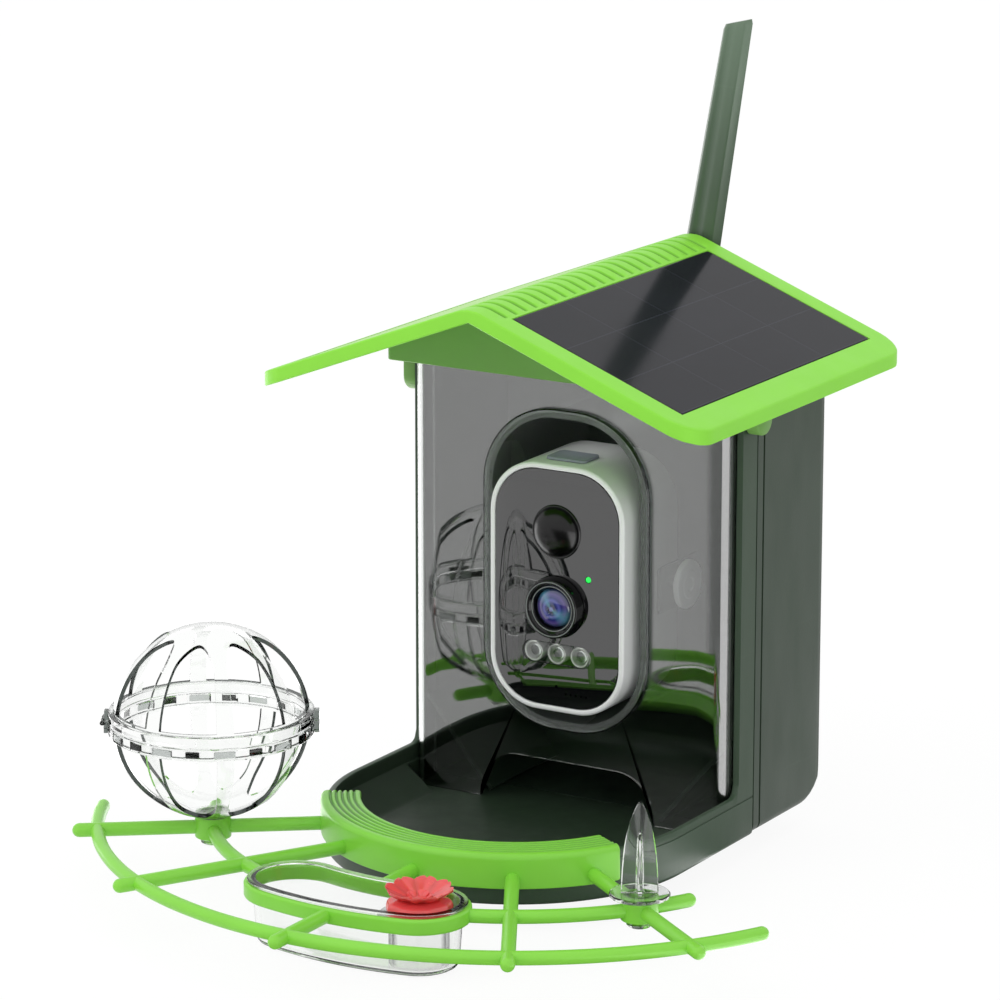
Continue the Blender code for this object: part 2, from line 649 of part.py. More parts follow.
BLADE_BEHIND_ROOF = 0.0022
KNUCKLE_Y = ROOF_BACK_Y + BLADE_BEHIND_ROOF + BLADE_FOOT_DEPTH / 2


def blade_loop(height, share, slant=0.0):
    """One six-sided section of the blade, at a share of the way from its foot to its tip."""
    half = (BLADE_FOOT_WIDTH + (BLADE_TIP_WIDTH - BLADE_FOOT_WIDTH) * share) / 2
    deep = (BLADE_FOOT_DEPTH + (BLADE_TIP_DEPTH - BLADE_FOOT_DEPTH) * share) / 2
    bevel = half * BLADE_BEVEL_SHARE
    points = [(-half, 0), (-half + bevel, -deep), (half - bevel, -deep), (half, 0), (half - bevel, deep),
              (-half + bevel, deep)]
    return [(x, y, height + slant * (x - half) / (2 * half)) for x, y in points]


def make_antenna():
    length = SOCKET_FLANGE + SOCKET_LENGTH
    stub = -SEAT_GAP - WALL - SOCKET_STUB
    bore = SOCKET_BORE - SEAT_GAP
    bearing = SPIGOT_RADIUS + SEAT_GAP
    profile = [(0, SOCKET_FLANGE), (bearing, SOCKET_FLANGE), (bearing, length), (SOCKET_RADIUS, length),
               (SOCKET_RADIUS, SOCKET_FLANGE), (SOCKET_FLANGE_RADIUS, SOCKET_FLANGE), (SOCKET_FLANGE_RADIUS, 0),
               (bore, 0), (bore, stub), (0, stub)]
    socket = turned("antenna_socket", profile, (0, 0, 0), "Y", 24, material=DARK_GREEN)
    socket_y = BACK_Y + SEAT_GAP
    socket.matrix_world = Matrix.Translation((ANTENNA_X, socket_y, ANTENNA_Z)) @ Matrix.Rotation(-pi / 2, 4, "X")

    swivel = carrier("antenna_swivel", (ANTENNA_X, KNUCKLE_Y, ANTENNA_Z))
    base_front = socket_y + length + RUNNING_GAP - KNUCKLE_Y
    base_back = -KNUCKLE_RADIUS - RUNNING_GAP
    base = rod("antenna_base", BASE_RADIUS, base_back - base_front, (0, (base_front + base_back) / 2, 0), "Y",
               material=DARK_GREEN)
    spigot_front = base_front - SPIGOT_LENGTH
    spigot = rod("base_spigot", SPIGOT_RADIUS, SPIGOT_LENGTH + BITE,
                 (0, (spigot_front + base_front + BITE) / 2, 0), "Y", 16, CUTTERS)
    join(base, spigot)
    inner = TONGUE_HALF + RUNNING_GAP
    cheek_mid = (FORK_HALF + inner) / 2
    cheeks = []
    for side, word in ((-1, "left"), (1, "right")):
        outline = [(base_back - BITE, -KNUCKLE_RADIUS)] + arc((0, 0), KNUCKLE_RADIUS, -90, 90, 8)
        outline += [(base_back - BITE, KNUCKLE_RADIUS)]
        cheek = prism("fork_cheek_" + word, [outline], FORK_HALF - inner, (side * cheek_mid, 0, 0), "YZ", CUTTERS)
        join(base, cheek)
        cheeks.append(cheek)
    pin_bore = rod("fork_bore", PIN_RADIUS + SEAT_GAP, 2 * FORK_HALF + OVERRUN, (0, 0, 0), "X", 16, CUTTERS)
    cut(base, pin_bore)
    pin = rod("antenna_pin", PIN_RADIUS, 2 * FORK_HALF, (0, 0, 0), "X", 16, material=STEEL)

    stations = ((0.0, 0.0), (0.35, 0.0), (0.7, 0.0), (1.0, BLADE_TIP_DROP))
    loops = [blade_loop(BLADE_FOOT + BLADE_LENGTH * share, share, slant) for share, slant in stations]
    blade = loft("antenna_blade", loops, material=DARK_GREEN)
    tongue = [(KNUCKLE_RADIUS, 0), (KNUCKLE_RADIUS, BLADE_FOOT + BITE), (-KNUCKLE_RADIUS, BLADE_FOOT + BITE)]
    tongue += arc((0, 0), KNUCKLE_RADIUS, 180, 360, 10)[:-1]
    tongue_block = prism("blade_tongue", [tongue], 2 * TONGUE_HALF, (0, 0, 0), "YZ", CUTTERS)
    tongue_bore = rod("tongue_bore", PIN_RADIUS + SEAT_GAP, 2 * FORK_HALF, (0, 0, 0), "X", 16, CUTTERS)
    join(blade, tongue_block)
    cut(blade, tongue_bore)
    for piece in (base, spigot, pin, pin_bore, blade, tongue_block, tongue_bore, *cheeks):
        piece.parent = swivel
    swivel.rotation_euler = (0, ANTENNA_LEAN, 0)


# Camera: a white shell with a black face, hung on the two tilt knobs
SHELL_RADIUS = 0.024
SHELL_WALL = 0.0026
SHELL_RIM_ROUND = 0.0008
SHELL_BACK_ROUND = 0.008
FACE_THICKNESS = 0.003
FACE_SUNK = 0.0004
PIR_UP = 0.0262
PIR_RADIUS = 0.0105
PIR_HEIGHT = 0.0062
PIR_FLANGE = 0.0015
PIR_SHEET = 0.0012
SENSOR_RADIUS = 0.0045
LENS_DOWN = 0.008
BARREL_RADIUS = 0.0140
BARREL_STAND = 0.003
BARREL_BEVEL = 0.0008
GLASS_RADIUS = 0.0084
GLASS_SUNK = 0.003
GLASS_RISE = 0.0025
IR_DOWN = 0.0298
IR_PITCH = 0.0114
IR_RADIUS = 0.0041
IR_SLOT_WIDTH = 0.0350
IR_SLOT_HEIGHT = 0.0100
IR_COVER = 0.0008
LED_X = 0.0160
LED_UP = 0.0064
LED_RADIUS = 0.0013
MIC_DOWN = 0.0447
MIC_RADIUS = 0.0008
SPEAKER_X = 0.0100
SPEAKER_DOWN = 0.0476
SPEAKER_HOLES = 5
SPEAKER_PITCH = 0.0026
SPEAKER_HOLE_RADIUS = 0.0006
SPEAKER_RADIUS = 0.0062
SPEAKER_DEPTH = 0.0035
BOARD_THICKNESS = 0.0016
BOARD_DEPTH = 0.0123
BATTERY_SIZE = (0.046, 0.019, 0.066)
FLAP_WIDTH = 0.020
FLAP_LENGTH = 0.015
FLAP_THICKNESS = 0.0012
FLAP_FRONT_FROM_FACE = 0.007
CAMERA_Z = TILT_Z
PIR_Z = CAMERA_Z + PIR_UP
LENS_Z = CAMERA_Z - LENS_DOWN
IR_Z = CAMERA_Z - IR_DOWN
LED_Z = CAMERA_Z + LED_UP
MIC_Z = CAMERA_Z - MIC_DOWN
SPEAKER_Z = CAMERA_Z - SPEAKER_DOWN


def camera_outline(inset, steps=6):
    return rounded_box(CAMERA_WIDTH - 2 * inset, CAMERA_HEIGHT - 2 * inset, SHELL_RADIUS - inset, steps)


def make_camera_shell():
    rear = FACE_Y + CAMERA_DEPTH
    bend = SHELL_BACK_ROUND
    stations = [(SHELL_WALL, rear - SHELL_WALL), (SHELL_WALL, FACE_Y), (SHELL_RIM_ROUND, FACE_Y),
                (0, FACE_Y + SHELL_RIM_ROUND)]
    for degrees in (0, 30, 60, 90):
        turn = radians(degrees)
        stations.append((bend * (1 - cos(turn)), rear - bend * (1 - sin(turn))))
    stations[0] = (SHELL_WALL + bend * (1 - cos(radians(60))), rear - SHELL_WALL)
    stations.insert(1, (SHELL_WALL, rear - bend))
    loops = [[(x, y, CAMERA_Z + z) for x, z in camera_outline(inset)] for inset, y in stations]
    shell = loft("camera_shell", loops, material=WHITE)
    bores = rod("shell_shank_bores", SHANK_BORE, CAMERA_WIDTH + OVERRUN, (0, TILT_Y, TILT_Z), "X", 16, CUTTERS)
    cut(shell, bores)
    return shell


def circle(x, z, radius, sides):
    return arc((x, z - CAMERA_Z), radius, 0, 360 - 360 / sides, sides - 1)


def make_camera_face():
    holes = [camera_outline(SHELL_WALL + SEAT_GAP), circle(0, PIR_Z, PIR_RADIUS + SEAT_GAP, 28),
             circle(0, LENS_Z, BARREL_RADIUS + SEAT_GAP, 32), circle(LED_X, LED_Z, LED_RADIUS + SEAT_GAP, 12),
             rounded_box(IR_SLOT_WIDTH, IR_SLOT_HEIGHT, IR_SLOT_HEIGHT / 2, 5, (0, IR_Z - CAMERA_Z)),
             circle(0, MIC_Z, MIC_RADIUS, 8)]
    for i in range(SPEAKER_HOLES):
        x = SPEAKER_X + (i - (SPEAKER_HOLES - 1) / 2) * SPEAKER_PITCH
        holes.append(circle(x, SPEAKER_Z, SPEAKER_HOLE_RADIUS, 8))
    middle = FACE_Y + FACE_SUNK + FACE_THICKNESS / 2
    return prism("camera_face", holes, FACE_THICKNESS, (0, middle, CAMERA_Z), "XZ", material=BLACK_GLOSS)


def make_camera_optics():
    """The dome, lens and lamps, all turned about axes that run towards -Y."""
    front = FACE_Y + FACE_SUNK
    behind = -FACE_THICKNESS - SEAT_GAP
    board_face = -BOARD_DEPTH + SEAT_GAP
    pieces = []
    dome = []
    flange = PIR_RADIUS + PIR_FLANGE
    inner = PIR_RADIUS - PIR_SHEET
    for i in range(6):
        turn = pi / 2 * i / 5
        dome.append((PIR_RADIUS * sin(turn), PIR_HEIGHT * cos(turn)))
    dome += [(PIR_RADIUS, behind), (flange, behind), (flange, behind - PIR_SHEET), (inner, behind - PIR_SHEET)]
    for i in range(5):
        turn = pi / 2 * (1 - i / 4)
        dome.append((inner * sin(turn), (PIR_HEIGHT - PIR_SHEET) * cos(turn)))
    pieces.append(turned("pir_dome", dome, (0, front, PIR_Z), "Y", 24, material=SMOKED))
    can = [(0, 0), (SENSOR_RADIUS, 0), (SENSOR_RADIUS, board_face), (0, board_face)]
    pieces.append(turned("pir_sensor", can, (0, front, PIR_Z), "Y", 20, material=STEEL))

    bezel = GLASS_RADIUS + SHELL_WALL
    barrel = [(0, -GLASS_SUNK), (GLASS_RADIUS, -GLASS_SUNK), (GLASS_RADIUS, 0), (bezel, BARREL_STAND - BARREL_BEVEL),
              (bezel + BARREL_BEVEL, BARREL_STAND), (BARREL_RADIUS - BARREL_BEVEL, BARREL_STAND),
              (BARREL_RADIUS, BARREL_STAND - BARREL_BEVEL), (BARREL_RADIUS, board_face), (0, board_face)]
    pieces.append(turned("lens_barrel", barrel, (0, front, LENS_Z), "Y", 28, material=BLACK_GLOSS))
    glass = []
    edge = GLASS_RADIUS - SEAT_GAP
    seat = -GLASS_SUNK + SEAT_GAP
    for i in range(5):
        share = i / 4
        glass.append((edge * share, seat + PIR_SHEET + GLASS_RISE * sqrt(1 - share * share)))
    glass += [(edge, seat), (0, seat)]
    pieces.append(turned("lens_glass", glass, (0, front, LENS_Z), "Y", 24, material=DARK_LENS))

    for i in range(3):
        x = (i - 1) * IR_PITCH
        tip = -IR_COVER - SEAT_GAP
        lamp = []
        for j in range(5):
            turn = pi / 2 * j / 4
            lamp.append((IR_RADIUS * sin(turn), tip - IR_RADIUS / 2 * (1 - cos(turn))))
        lamp += [(IR_RADIUS, board_face), (0, board_face)]
        pieces.append(turned("ir_led_%d" % (i + 1), lamp, (x, front, IR_Z), "Y", 16, material=LED_CLEAR))
    width = IR_SLOT_WIDTH - 2 * SEAT_GAP
    height = IR_SLOT_HEIGHT - 2 * SEAT_GAP
    pieces.append(prism("ir_cover", [rounded_box(width, height, height / 2, 5)], IR_COVER,
                        (0, front + IR_COVER / 2, IR_Z), "XZ", material=CLEAR))
    lamp_length = BOARD_DEPTH - SEAT_GAP
    pieces.append(rod("status_led", LED_RADIUS, lamp_length, (LED_X, front + lamp_length / 2, LED_Z), "Y", 12,
                      material=LED_GREEN))
    return pieces


def make_camera_inside():
    """What the closed shell holds: the board, the battery against the back wall, and the speaker."""
    front = FACE_Y + FACE_SUNK
    board_y = front + BOARD_DEPTH + BOARD_THICKNESS / 2
    board = prism("camera_board", [camera_outline(SHELL_WALL + SEAT_GAP, 4)], BOARD_THICKNESS,
                  (0, board_y, CAMERA_Z), "XZ", material=BOARD)
    back = FACE_Y + CAMERA_DEPTH - SHELL_WALL - SEAT_GAP
    battery = block("camera_battery", BATTERY_SIZE, (0, back - BATTERY_SIZE[1] / 2, CAMERA_Z), material=CELL)
    speaker_y = front + FACE_THICKNESS + SEAT_GAP + SPEAKER_DEPTH / 2
    speaker = rod("camera_speaker", SPEAKER_RADIUS, SPEAKER_DEPTH,
                  (SPEAKER_X, speaker_y, SPEAKER_Z + SPEAKER_RADIUS / 2), "Y", 20, material=STEEL)
    return [board, battery, speaker]


def make_camera():
    pieces = [make_camera_shell(), make_camera_face()] + make_camera_optics() + make_camera_inside()
    hang(carrier("camera_tilt", (0, TILT_Y, TILT_Z)), *pieces)
    top = CAMERA_Z + CAMERA_HEIGHT / 2 + SEAT_GAP
    flap_front = FACE_Y + FLAP_FRONT_FROM_FACE
    flap = block("card_flap", (FLAP_WIDTH, FLAP_LENGTH, FLAP_THICKNESS),
                 (0, flap_front + FLAP_LENGTH / 2, top + FLAP_THICKNESS / 2), material=RUBBER)
    hang(carrier("flap_hinge", (0, flap_front + FLAP_LENGTH, top)), flap)


# Tilt knobs: thumb screws through the tunnel's walls, which the camera turns on
KNOB_RADIUS = 0.0094
KNOB_THICKNESS = 0.003
KNOB_NECK_RADIUS = 0.0070
KNOB_NECK = 0.0022
KNOB_DIMPLE_RADIUS = 0.0028
KNOB_DIMPLE = 0.0006
SHANK_INSIDE = 0.0015


def make_tilt_knobs():
    seat = TUNNEL_HALF + RIB_THICKNESS + SEAT_GAP
    tip = CAMERA_WIDTH / 2 - SHELL_WALL - SHANK_INSIDE
    disc = seat + KNOB_NECK
    face = disc + KNOB_THICKNESS
    profile = [(0, face - KNOB_DIMPLE), (KNOB_DIMPLE_RADIUS, face - KNOB_DIMPLE), (KNOB_DIMPLE_RADIUS, face),
               (KNOB_RADIUS - KNOB_DIMPLE, face), (KNOB_RADIUS, face - KNOB_DIMPLE), (KNOB_RADIUS, disc),
               (KNOB_NECK_RADIUS, disc), (KNOB_NECK_RADIUS, seat), (SHANK_RADIUS, seat), (SHANK_RADIUS, tip), (0, tip)]
    for side, word in ((-1, "left"), (1, "right")):
        knob = turned("tilt_knob_" + word, profile, (0, TILT_Y, TILT_Z), "X", 20, material=WHITE)
        knob.matrix_world = Matrix.Translation((0, TILT_Y, TILT_Z)) @ Matrix.Rotation(side * pi / 2, 4, "Y")


# Perch: a collar over the tray's front rim, spokes, two arcs, a ring for the trough and two sockets
COLLAR_REACH = 0.0155
COLLAR_TOP = 0.002
COLLAR_WALL = 0.002
COLLAR_SKIRT_DROP = 0.0133
COLLAR_CLIP = 0.0019
COLLAR_CLIP_DROP = 0.006
COLLAR_LIP = 0.0012
COLLAR_INNER = HALF_HOUSE - COLLAR_REACH
COLLAR_BOTTOM_Z = TRAY_HEIGHT - COLLAR_SKIRT_DROP
COLLAR_CLIP_Z = TRAY_HEIGHT - COLLAR_CLIP_DROP
COLLAR_GROOVES = 5
COLLAR_GROOVE_HALF = 0.0006
COLLAR_GROOVE_DEPTH = 0.0008
COLLAR_GROOVE_MARGIN = 0.003
COLLAR_GROOVE_START = COLLAR_INNER + COLLAR_GROOVE_MARGIN
COLLAR_GROOVE_PITCH = 0.0026
COLLAR_ROUND = 0.0028
COLLAR_HALF_DEGREES = 62
SPOKE_RADIUS = 0.0031
ARC_BAR_RADIUS = 0.0030
SPOKE_TAIL = 0.0112
ARC_SPACING = 0.0504
ARC_REACH = 0.0495
INNER_ARC = HALF_HOUSE + ARC_REACH
OUTER_ARC = INNER_ARC + ARC_SPACING
SPOKE_END = OUTER_ARC + SPOKE_TAIL
ARC_HALF_DEGREES = 65
MIDDLE_SPOKE_DEGREES = 29.8
SOCKET_DEGREES = 53.5
SPOKE_DEGREES = (-SOCKET_DEGREES, -MIDDLE_SPOKE_DEGREES, MIDDLE_SPOKE_DEGREES, SOCKET_DEGREES)
BOSS_RADIUS = 0.0080
BOSS_RISE = 0.0052
BOSS_FALL = 0.0045
BOSS_TOP_Z = PERCH_HEIGHT + BOSS_RISE
BOSS_BOTTOM_Z = PERCH_HEIGHT - BOSS_FALL
PLUG_RADIUS = 0.0055
TROUGH_HALF_DEGREES = 13.3
RING_HALF_WIDTH = 0.0220
RING_WALL = 0.0030
RING_RISE = 0.0037
RING_FALL = 0.0033
RING_BOTTOM_Z = PERCH_HEIGHT - RING_FALL
RING_TOP_Z = PERCH_HEIGHT + RING_RISE


def collar_profile():
    """The collar's section, from the outer wall's foot round its inside to the top and back down."""
    rim = HALF_HOUSE
    under = TRAY_HEIGHT + SEAT_GAP
    top = under + COLLAR_TOP
    wall_in = rim + RUNNING_GAP
    wall_out = wall_in + COLLAR_WALL
    clip_out = rim - WALL - RUNNING_GAP
    points = []
    for degrees in (90, 60, 30, 0):
        turn = radians(degrees)
        points.append((wall_out - COLLAR_ROUND * (1 - cos(turn)), top - COLLAR_ROUND * (1 - sin(turn))))
    points += [(wall_out, COLLAR_BOTTOM_Z), (wall_in, COLLAR_BOTTOM_Z), (wall_in, under), (clip_out, under),
               (clip_out, COLLAR_CLIP_Z), (clip_out - COLLAR_CLIP, COLLAR_CLIP_Z), (clip_out - COLLAR_CLIP, under),
               (COLLAR_INNER + COLLAR_WALL, under), (COLLAR_INNER + COLLAR_WALL, under - COLLAR_LIP),
               (COLLAR_INNER, under - COLLAR_LIP), (COLLAR_INNER, top - COLLAR_LIP), (COLLAR_INNER + COLLAR_LIP, top)]
    for i in range(COLLAR_GROOVES):
        middle = COLLAR_GROOVE_START + COLLAR_GROOVE_PITCH * i
        points += [(middle - COLLAR_GROOVE_HALF, top), (middle, top - COLLAR_GROOVE_DEPTH),
                   (middle + COLLAR_GROOVE_HALF, top)]
    return points


def arc_bar(name, radius, start, end, step):
    count = max(2, round(abs(end - start) / step))
    turns = [start + (end - start) * i / count for i in range(count + 1)]
    points = [(*polar(radius, turn), PERCH_HEIGHT) for turn in turns]
    return bar(name, points, ARC_BAR_RADIUS, CUTTERS, resolution=2)


def spoke(name, start, end, degrees, round_end):
    points = [(*polar(start, degrees), PERCH_HEIGHT), (*polar(end, degrees), PERCH_HEIGHT)]
    return bar(name, points, SPOKE_RADIUS, CUTTERS, round_end=round_end, resolution=2)


def make_perch():
    wall_middle = HALF_HOUSE + RUNNING_GAP + COLLAR_WALL / 2
    perch = turned("perch", collar_profile(), (0, TRAY_CENTRE_Y, 0), "Z", 64, closed=True, material=BRIGHT_GREEN)
    reach = 2 * HALF_HOUSE
    wedge = [(0, TRAY_CENTRE_Y)]
    wedge += [polar(reach, -COLLAR_HALF_DEGREES + 2 * COLLAR_HALF_DEGREES * i / 6) for i in range(7)]
    sector = prism("collar_sector", [wedge], 2 * TRAY_HEIGHT + 2 * OVERRUN, (0, 0, TRAY_HEIGHT / 2), "XY", CUTTERS)
    combine(perch, sector, "INTERSECT")
    for i, turn in enumerate(SPOKE_DEGREES):
        join(perch, spoke("spoke_%d" % (i + 1), wall_middle, SPOKE_END, turn, True))
    ring_middle = RING_HALF_WIDTH - RING_WALL / 2
    join(perch, spoke("spoke_to_ring", wall_middle, INNER_ARC - ring_middle, 0, False))
    join(perch, spoke("spoke_past_ring", INNER_ARC + ring_middle, SPOKE_END, 0, True))
    join(perch, arc_bar("outer_arc", OUTER_ARC, -ARC_HALF_DEGREES, ARC_HALF_DEGREES, 5))
    ring_end = TROUGH_HALF_DEGREES + ring_middle / INNER_ARC * 180 / pi
    join(perch, arc_bar("inner_arc_left", INNER_ARC, -ARC_HALF_DEGREES, -ring_end, 6))
    join(perch, arc_bar("inner_arc_right", INNER_ARC, ring_end, ARC_HALF_DEGREES, 6))
    outlines = [kidney(RING_HALF_WIDTH, INNER_ARC, TROUGH_HALF_DEGREES),
                kidney(RING_HALF_WIDTH - RING_WALL, INNER_ARC, TROUGH_HALF_DEGREES)]
    ring = prism("trough_ring", outlines, RING_TOP_Z - RING_BOTTOM_Z, (0, 0, (RING_TOP_Z + RING_BOTTOM_Z) / 2), "XY",
                 CUTTERS)
    join(perch, ring)
    for side, word in ((-1, "left"), (1, "right")):
        place = polar(INNER_ARC, side * SOCKET_DEGREES)
        height = BOSS_TOP_Z - BOSS_BOTTOM_Z
        centre = (*place, (BOSS_TOP_Z + BOSS_BOTTOM_Z) / 2)
        join(perch, rod("socket_boss_" + word, BOSS_RADIUS, height, centre, sides=20, group=CUTTERS))
        cut(perch, rod("socket_bore_" + word, PLUG_RADIUS + RUNNING_GAP, height + 2 * OVERRUN, centre, sides=16,
                       group=CUTTERS))
    hang(carrier("perch_lift", (0, TRAY_CENTRE_Y, PERCH_HEIGHT)), perch)


# Ball feeder: two clear cage halves on a hinge, with a plug that stands in the left socket
BALL_RADIUS = 0.043
BALL_SHEET = 0.0018
BALL_FLANGE = 0.0018
BALL_FLANGE_HEIGHT = 0.005
BALL_SLOTS = 8
BALL_SLOT_PHASE_DEGREES = -70
SLOT_HALF_SHARE = 0.30
SLOT_TOP_SHARE = 0.905
BALL_SEAT_RADIUS = 0.008
PLUG_BELOW = 0.003
BALL_HINGE_DEGREES = 211
HINGE_BARREL_RADIUS = 0.0020
HINGE_PIN_RADIUS = 0.0009
HINGE_STAND = 0.0024
HINGE_INNER_HALF = 0.0020
HINGE_OUTER_HALF = 0.0055
CLASP_HALF = 0.0030
CLASP_DEPTH = 0.0022
HALF_SPLIT = 0.00015
BALL_X, BALL_Y = polar(INNER_ARC, -SOCKET_DEGREES)
BALL_Z = BOSS_TOP_Z + SEAT_GAP + BALL_RADIUS
FLANGE_EDGE = BALL_RADIUS + BALL_FLANGE
HINGE_REACH = FLANGE_EDGE + HINGE_STAND


def half_ball_profile(sign, plug):
    """One half's section from the inner pole to the rim, over the flange, and along the outside to the pole."""
    inner = BALL_RADIUS - BALL_SHEET
    rise = asin(HALF_SPLIT / inner)
    points = []
    for i in range(6):
        turn = pi / 2 + (rise - pi / 2) * i / 5
        radius = 0 if i == 0 else inner * cos(turn)
        points.append((radius, inner * sin(turn)))
    points += [(FLANGE_EDGE, HALF_SPLIT), (FLANGE_EDGE, BALL_FLANGE_HEIGHT)]
    start = asin(BALL_FLANGE_HEIGHT / BALL_RADIUS)
    end = pi / 2 - asin(BALL_SEAT_RADIUS / BALL_RADIUS) if plug else pi / 2
    for i in range(7):
        turn = start + (end - start) * i / 6
        points.append((BALL_RADIUS * cos(turn), BALL_RADIUS * sin(turn)))
    if plug:
        tip = BALL_Z - BOSS_BOTTOM_Z + PLUG_BELOW
        points += [(BALL_SEAT_RADIUS, BALL_RADIUS), (PLUG_RADIUS, BALL_RADIUS), (PLUG_RADIUS, tip), (0, tip)]
    else:
        points[-1] = (0, BALL_RADIUS)
    points = [(radius, sign * height) for radius, height in points]
    return points if sign < 0 else list(reversed(points))


def ball_matrix(degrees):
    """A frame at the ball's middle whose X axis points out at an angle from +X."""
    return Matrix.Translation((BALL_X, BALL_Y, BALL_Z)) @ Matrix.Rotation(radians(degrees), 4, "Z")


def slot_cutter(name, sign, degrees):
    """An arch pushed outward from the middle of the ball, narrower the nearer it comes to the pole."""
    top = BALL_RADIUS * SLOT_TOP_SHARE
    foot = BALL_FLANGE_HEIGHT + BITE
    side = []
    for i in range(4):
        height = foot + (top - foot) * i / 4
        side.append((sqrt(BALL_RADIUS ** 2 - height ** 2) * SLOT_HALF_SHARE, height))
    last_half, last_height = side[-1]
    cap = top - last_height
    crown = []
    for i in range(1, 4):
        turn = pi * i / 4
        crown.append((last_half * cos(turn), last_height + cap * sin(turn)))
    outline = side + crown + [(-half, height) for half, height in reversed(side)]
    length = BALL_RADIUS + 2 * OVERRUN
    cutter = prism(name, [[(x, sign * z) for x, z in outline]], length, (0, 0, 0), "YZ", CUTTERS)
    cutter.matrix_world = ball_matrix(degrees) @ Matrix.Translation((length / 2 + OVERRUN, 0, 0)) @ PLANE_TURN["YZ"]
    return cutter


def on_rim(made, degrees, radial, height, axis=None):
    """Puts a small piece on the ball's rim, with its own X axis pointing out."""
    turn = AXIS_TURN[axis] if axis else Matrix.Identity(4)
    made.matrix_world = ball_matrix(degrees) @ Matrix.Translation((radial, 0, height)) @ turn
    return made


def make_half_ball(name, sign, barrels):
    half = turned(name, half_ball_profile(sign, sign < 0), (BALL_X, BALL_Y, BALL_Z), "Z", 32, material=CLEAR)
    for i in range(BALL_SLOTS):
        cut(half, slot_cutter("%s_slot_%d" % (name, i + 1), sign, BALL_SLOT_PHASE_DEGREES + 360 / BALL_SLOTS * i))
    web_low = RUNNING_GAP
    web_height = BALL_FLANGE_HEIGHT - web_low
    web_inner = FLANGE_EDGE - BITE
    for i, (near, far) in enumerate(barrels):
        middle = (near + far) / 2
        length = far - near
        web = block("%s_web_%d" % (name, i), (HINGE_REACH - web_inner, length, web_height), (0, 0, 0), CUTTERS)
        web.matrix_world = (ball_matrix(BALL_HINGE_DEGREES)
                            @ Matrix.Translation(((HINGE_REACH + web_inner) / 2, middle,
                                                  sign * (web_low + web_height / 2))))
        barrel = rod("%s_barrel_%d" % (name, i), HINGE_BARREL_RADIUS, length, (0, 0, 0), "Y", 14, CUTTERS)
        barrel.matrix_world = ball_matrix(BALL_HINGE_DEGREES) @ Matrix.Translation((HINGE_REACH, middle, 0))
        join(half, web, barrel)
    bore = rod(name + "_bore", HINGE_PIN_RADIUS + SEAT_GAP, 3 * HINGE_OUTER_HALF, (0, 0, 0), "Y", 12, CUTTERS)
    bore.matrix_world = ball_matrix(BALL_HINGE_DEGREES) @ Matrix.Translation((HINGE_REACH, 0, 0))
    cut(half, bore)
    clasp_depth = CLASP_DEPTH + BITE
    clasp = block(name + "_clasp", (clasp_depth, 2 * CLASP_HALF, web_height), (0, 0, 0), CUTTERS)
    clasp.matrix_world = (ball_matrix(BALL_HINGE_DEGREES + 180)
                          @ Matrix.Translation((FLANGE_EDGE - BITE + clasp_depth / 2, 0,
                                                sign * (web_low + web_height / 2))))
    join(half, clasp)
    return half


def make_ball():
    gap = RUNNING_GAP / 2
    outer_barrels = [(-HINGE_OUTER_HALF, -HINGE_INNER_HALF - gap), (HINGE_INNER_HALF + gap, HINGE_OUTER_HALF)]
    lower = make_half_ball("ball_lower", -1, outer_barrels)
    upper = make_half_ball("ball_upper", 1, [(-HINGE_INNER_HALF + gap, HINGE_INNER_HALF - gap)])
    pin = rod("ball_hinge_pin", HINGE_PIN_RADIUS, 2 * HINGE_OUTER_HALF, (0, 0, 0), "Y", 12, material=CLEAR)
    pin.matrix_world = ball_matrix(BALL_HINGE_DEGREES) @ Matrix.Translation((HINGE_REACH, 0, 0))
    hang(carrier("ball_lift", (BALL_X, BALL_Y, BALL_Z)), lower, pin)
    turn = radians(BALL_HINGE_DEGREES)
    hinge = (BALL_X + HINGE_REACH * cos(turn), BALL_Y + HINGE_REACH * sin(turn), BALL_Z)
    hang(carrier("ball_hinge", hinge), upper)


# Fruit spike: a clear pointed post on a round foot, in the right socket
SPIKE_FOOT_RADIUS = 0.0128
SPIKE_FOOT = 0.0018
SPIKE_RADIUS = 0.0078
SPIKE_HEIGHT = 0.041
SPIKE_FINS = 4
SPIKE_FIN = 0.0018
SPIKE_CORE = 0.0030
SPIKE_X, SPIKE_Y = polar(INNER_ARC, SOCKET_DEGREES)
SPIKE_Z = BOSS_TOP_Z + SEAT_GAP


def ogive(share):
    """Half the spike's width at a share of its height."""
    return SPIKE_RADIUS * sqrt(max(0.0, 1 - share ** 2)) * (1 - share ** 6 / 2)


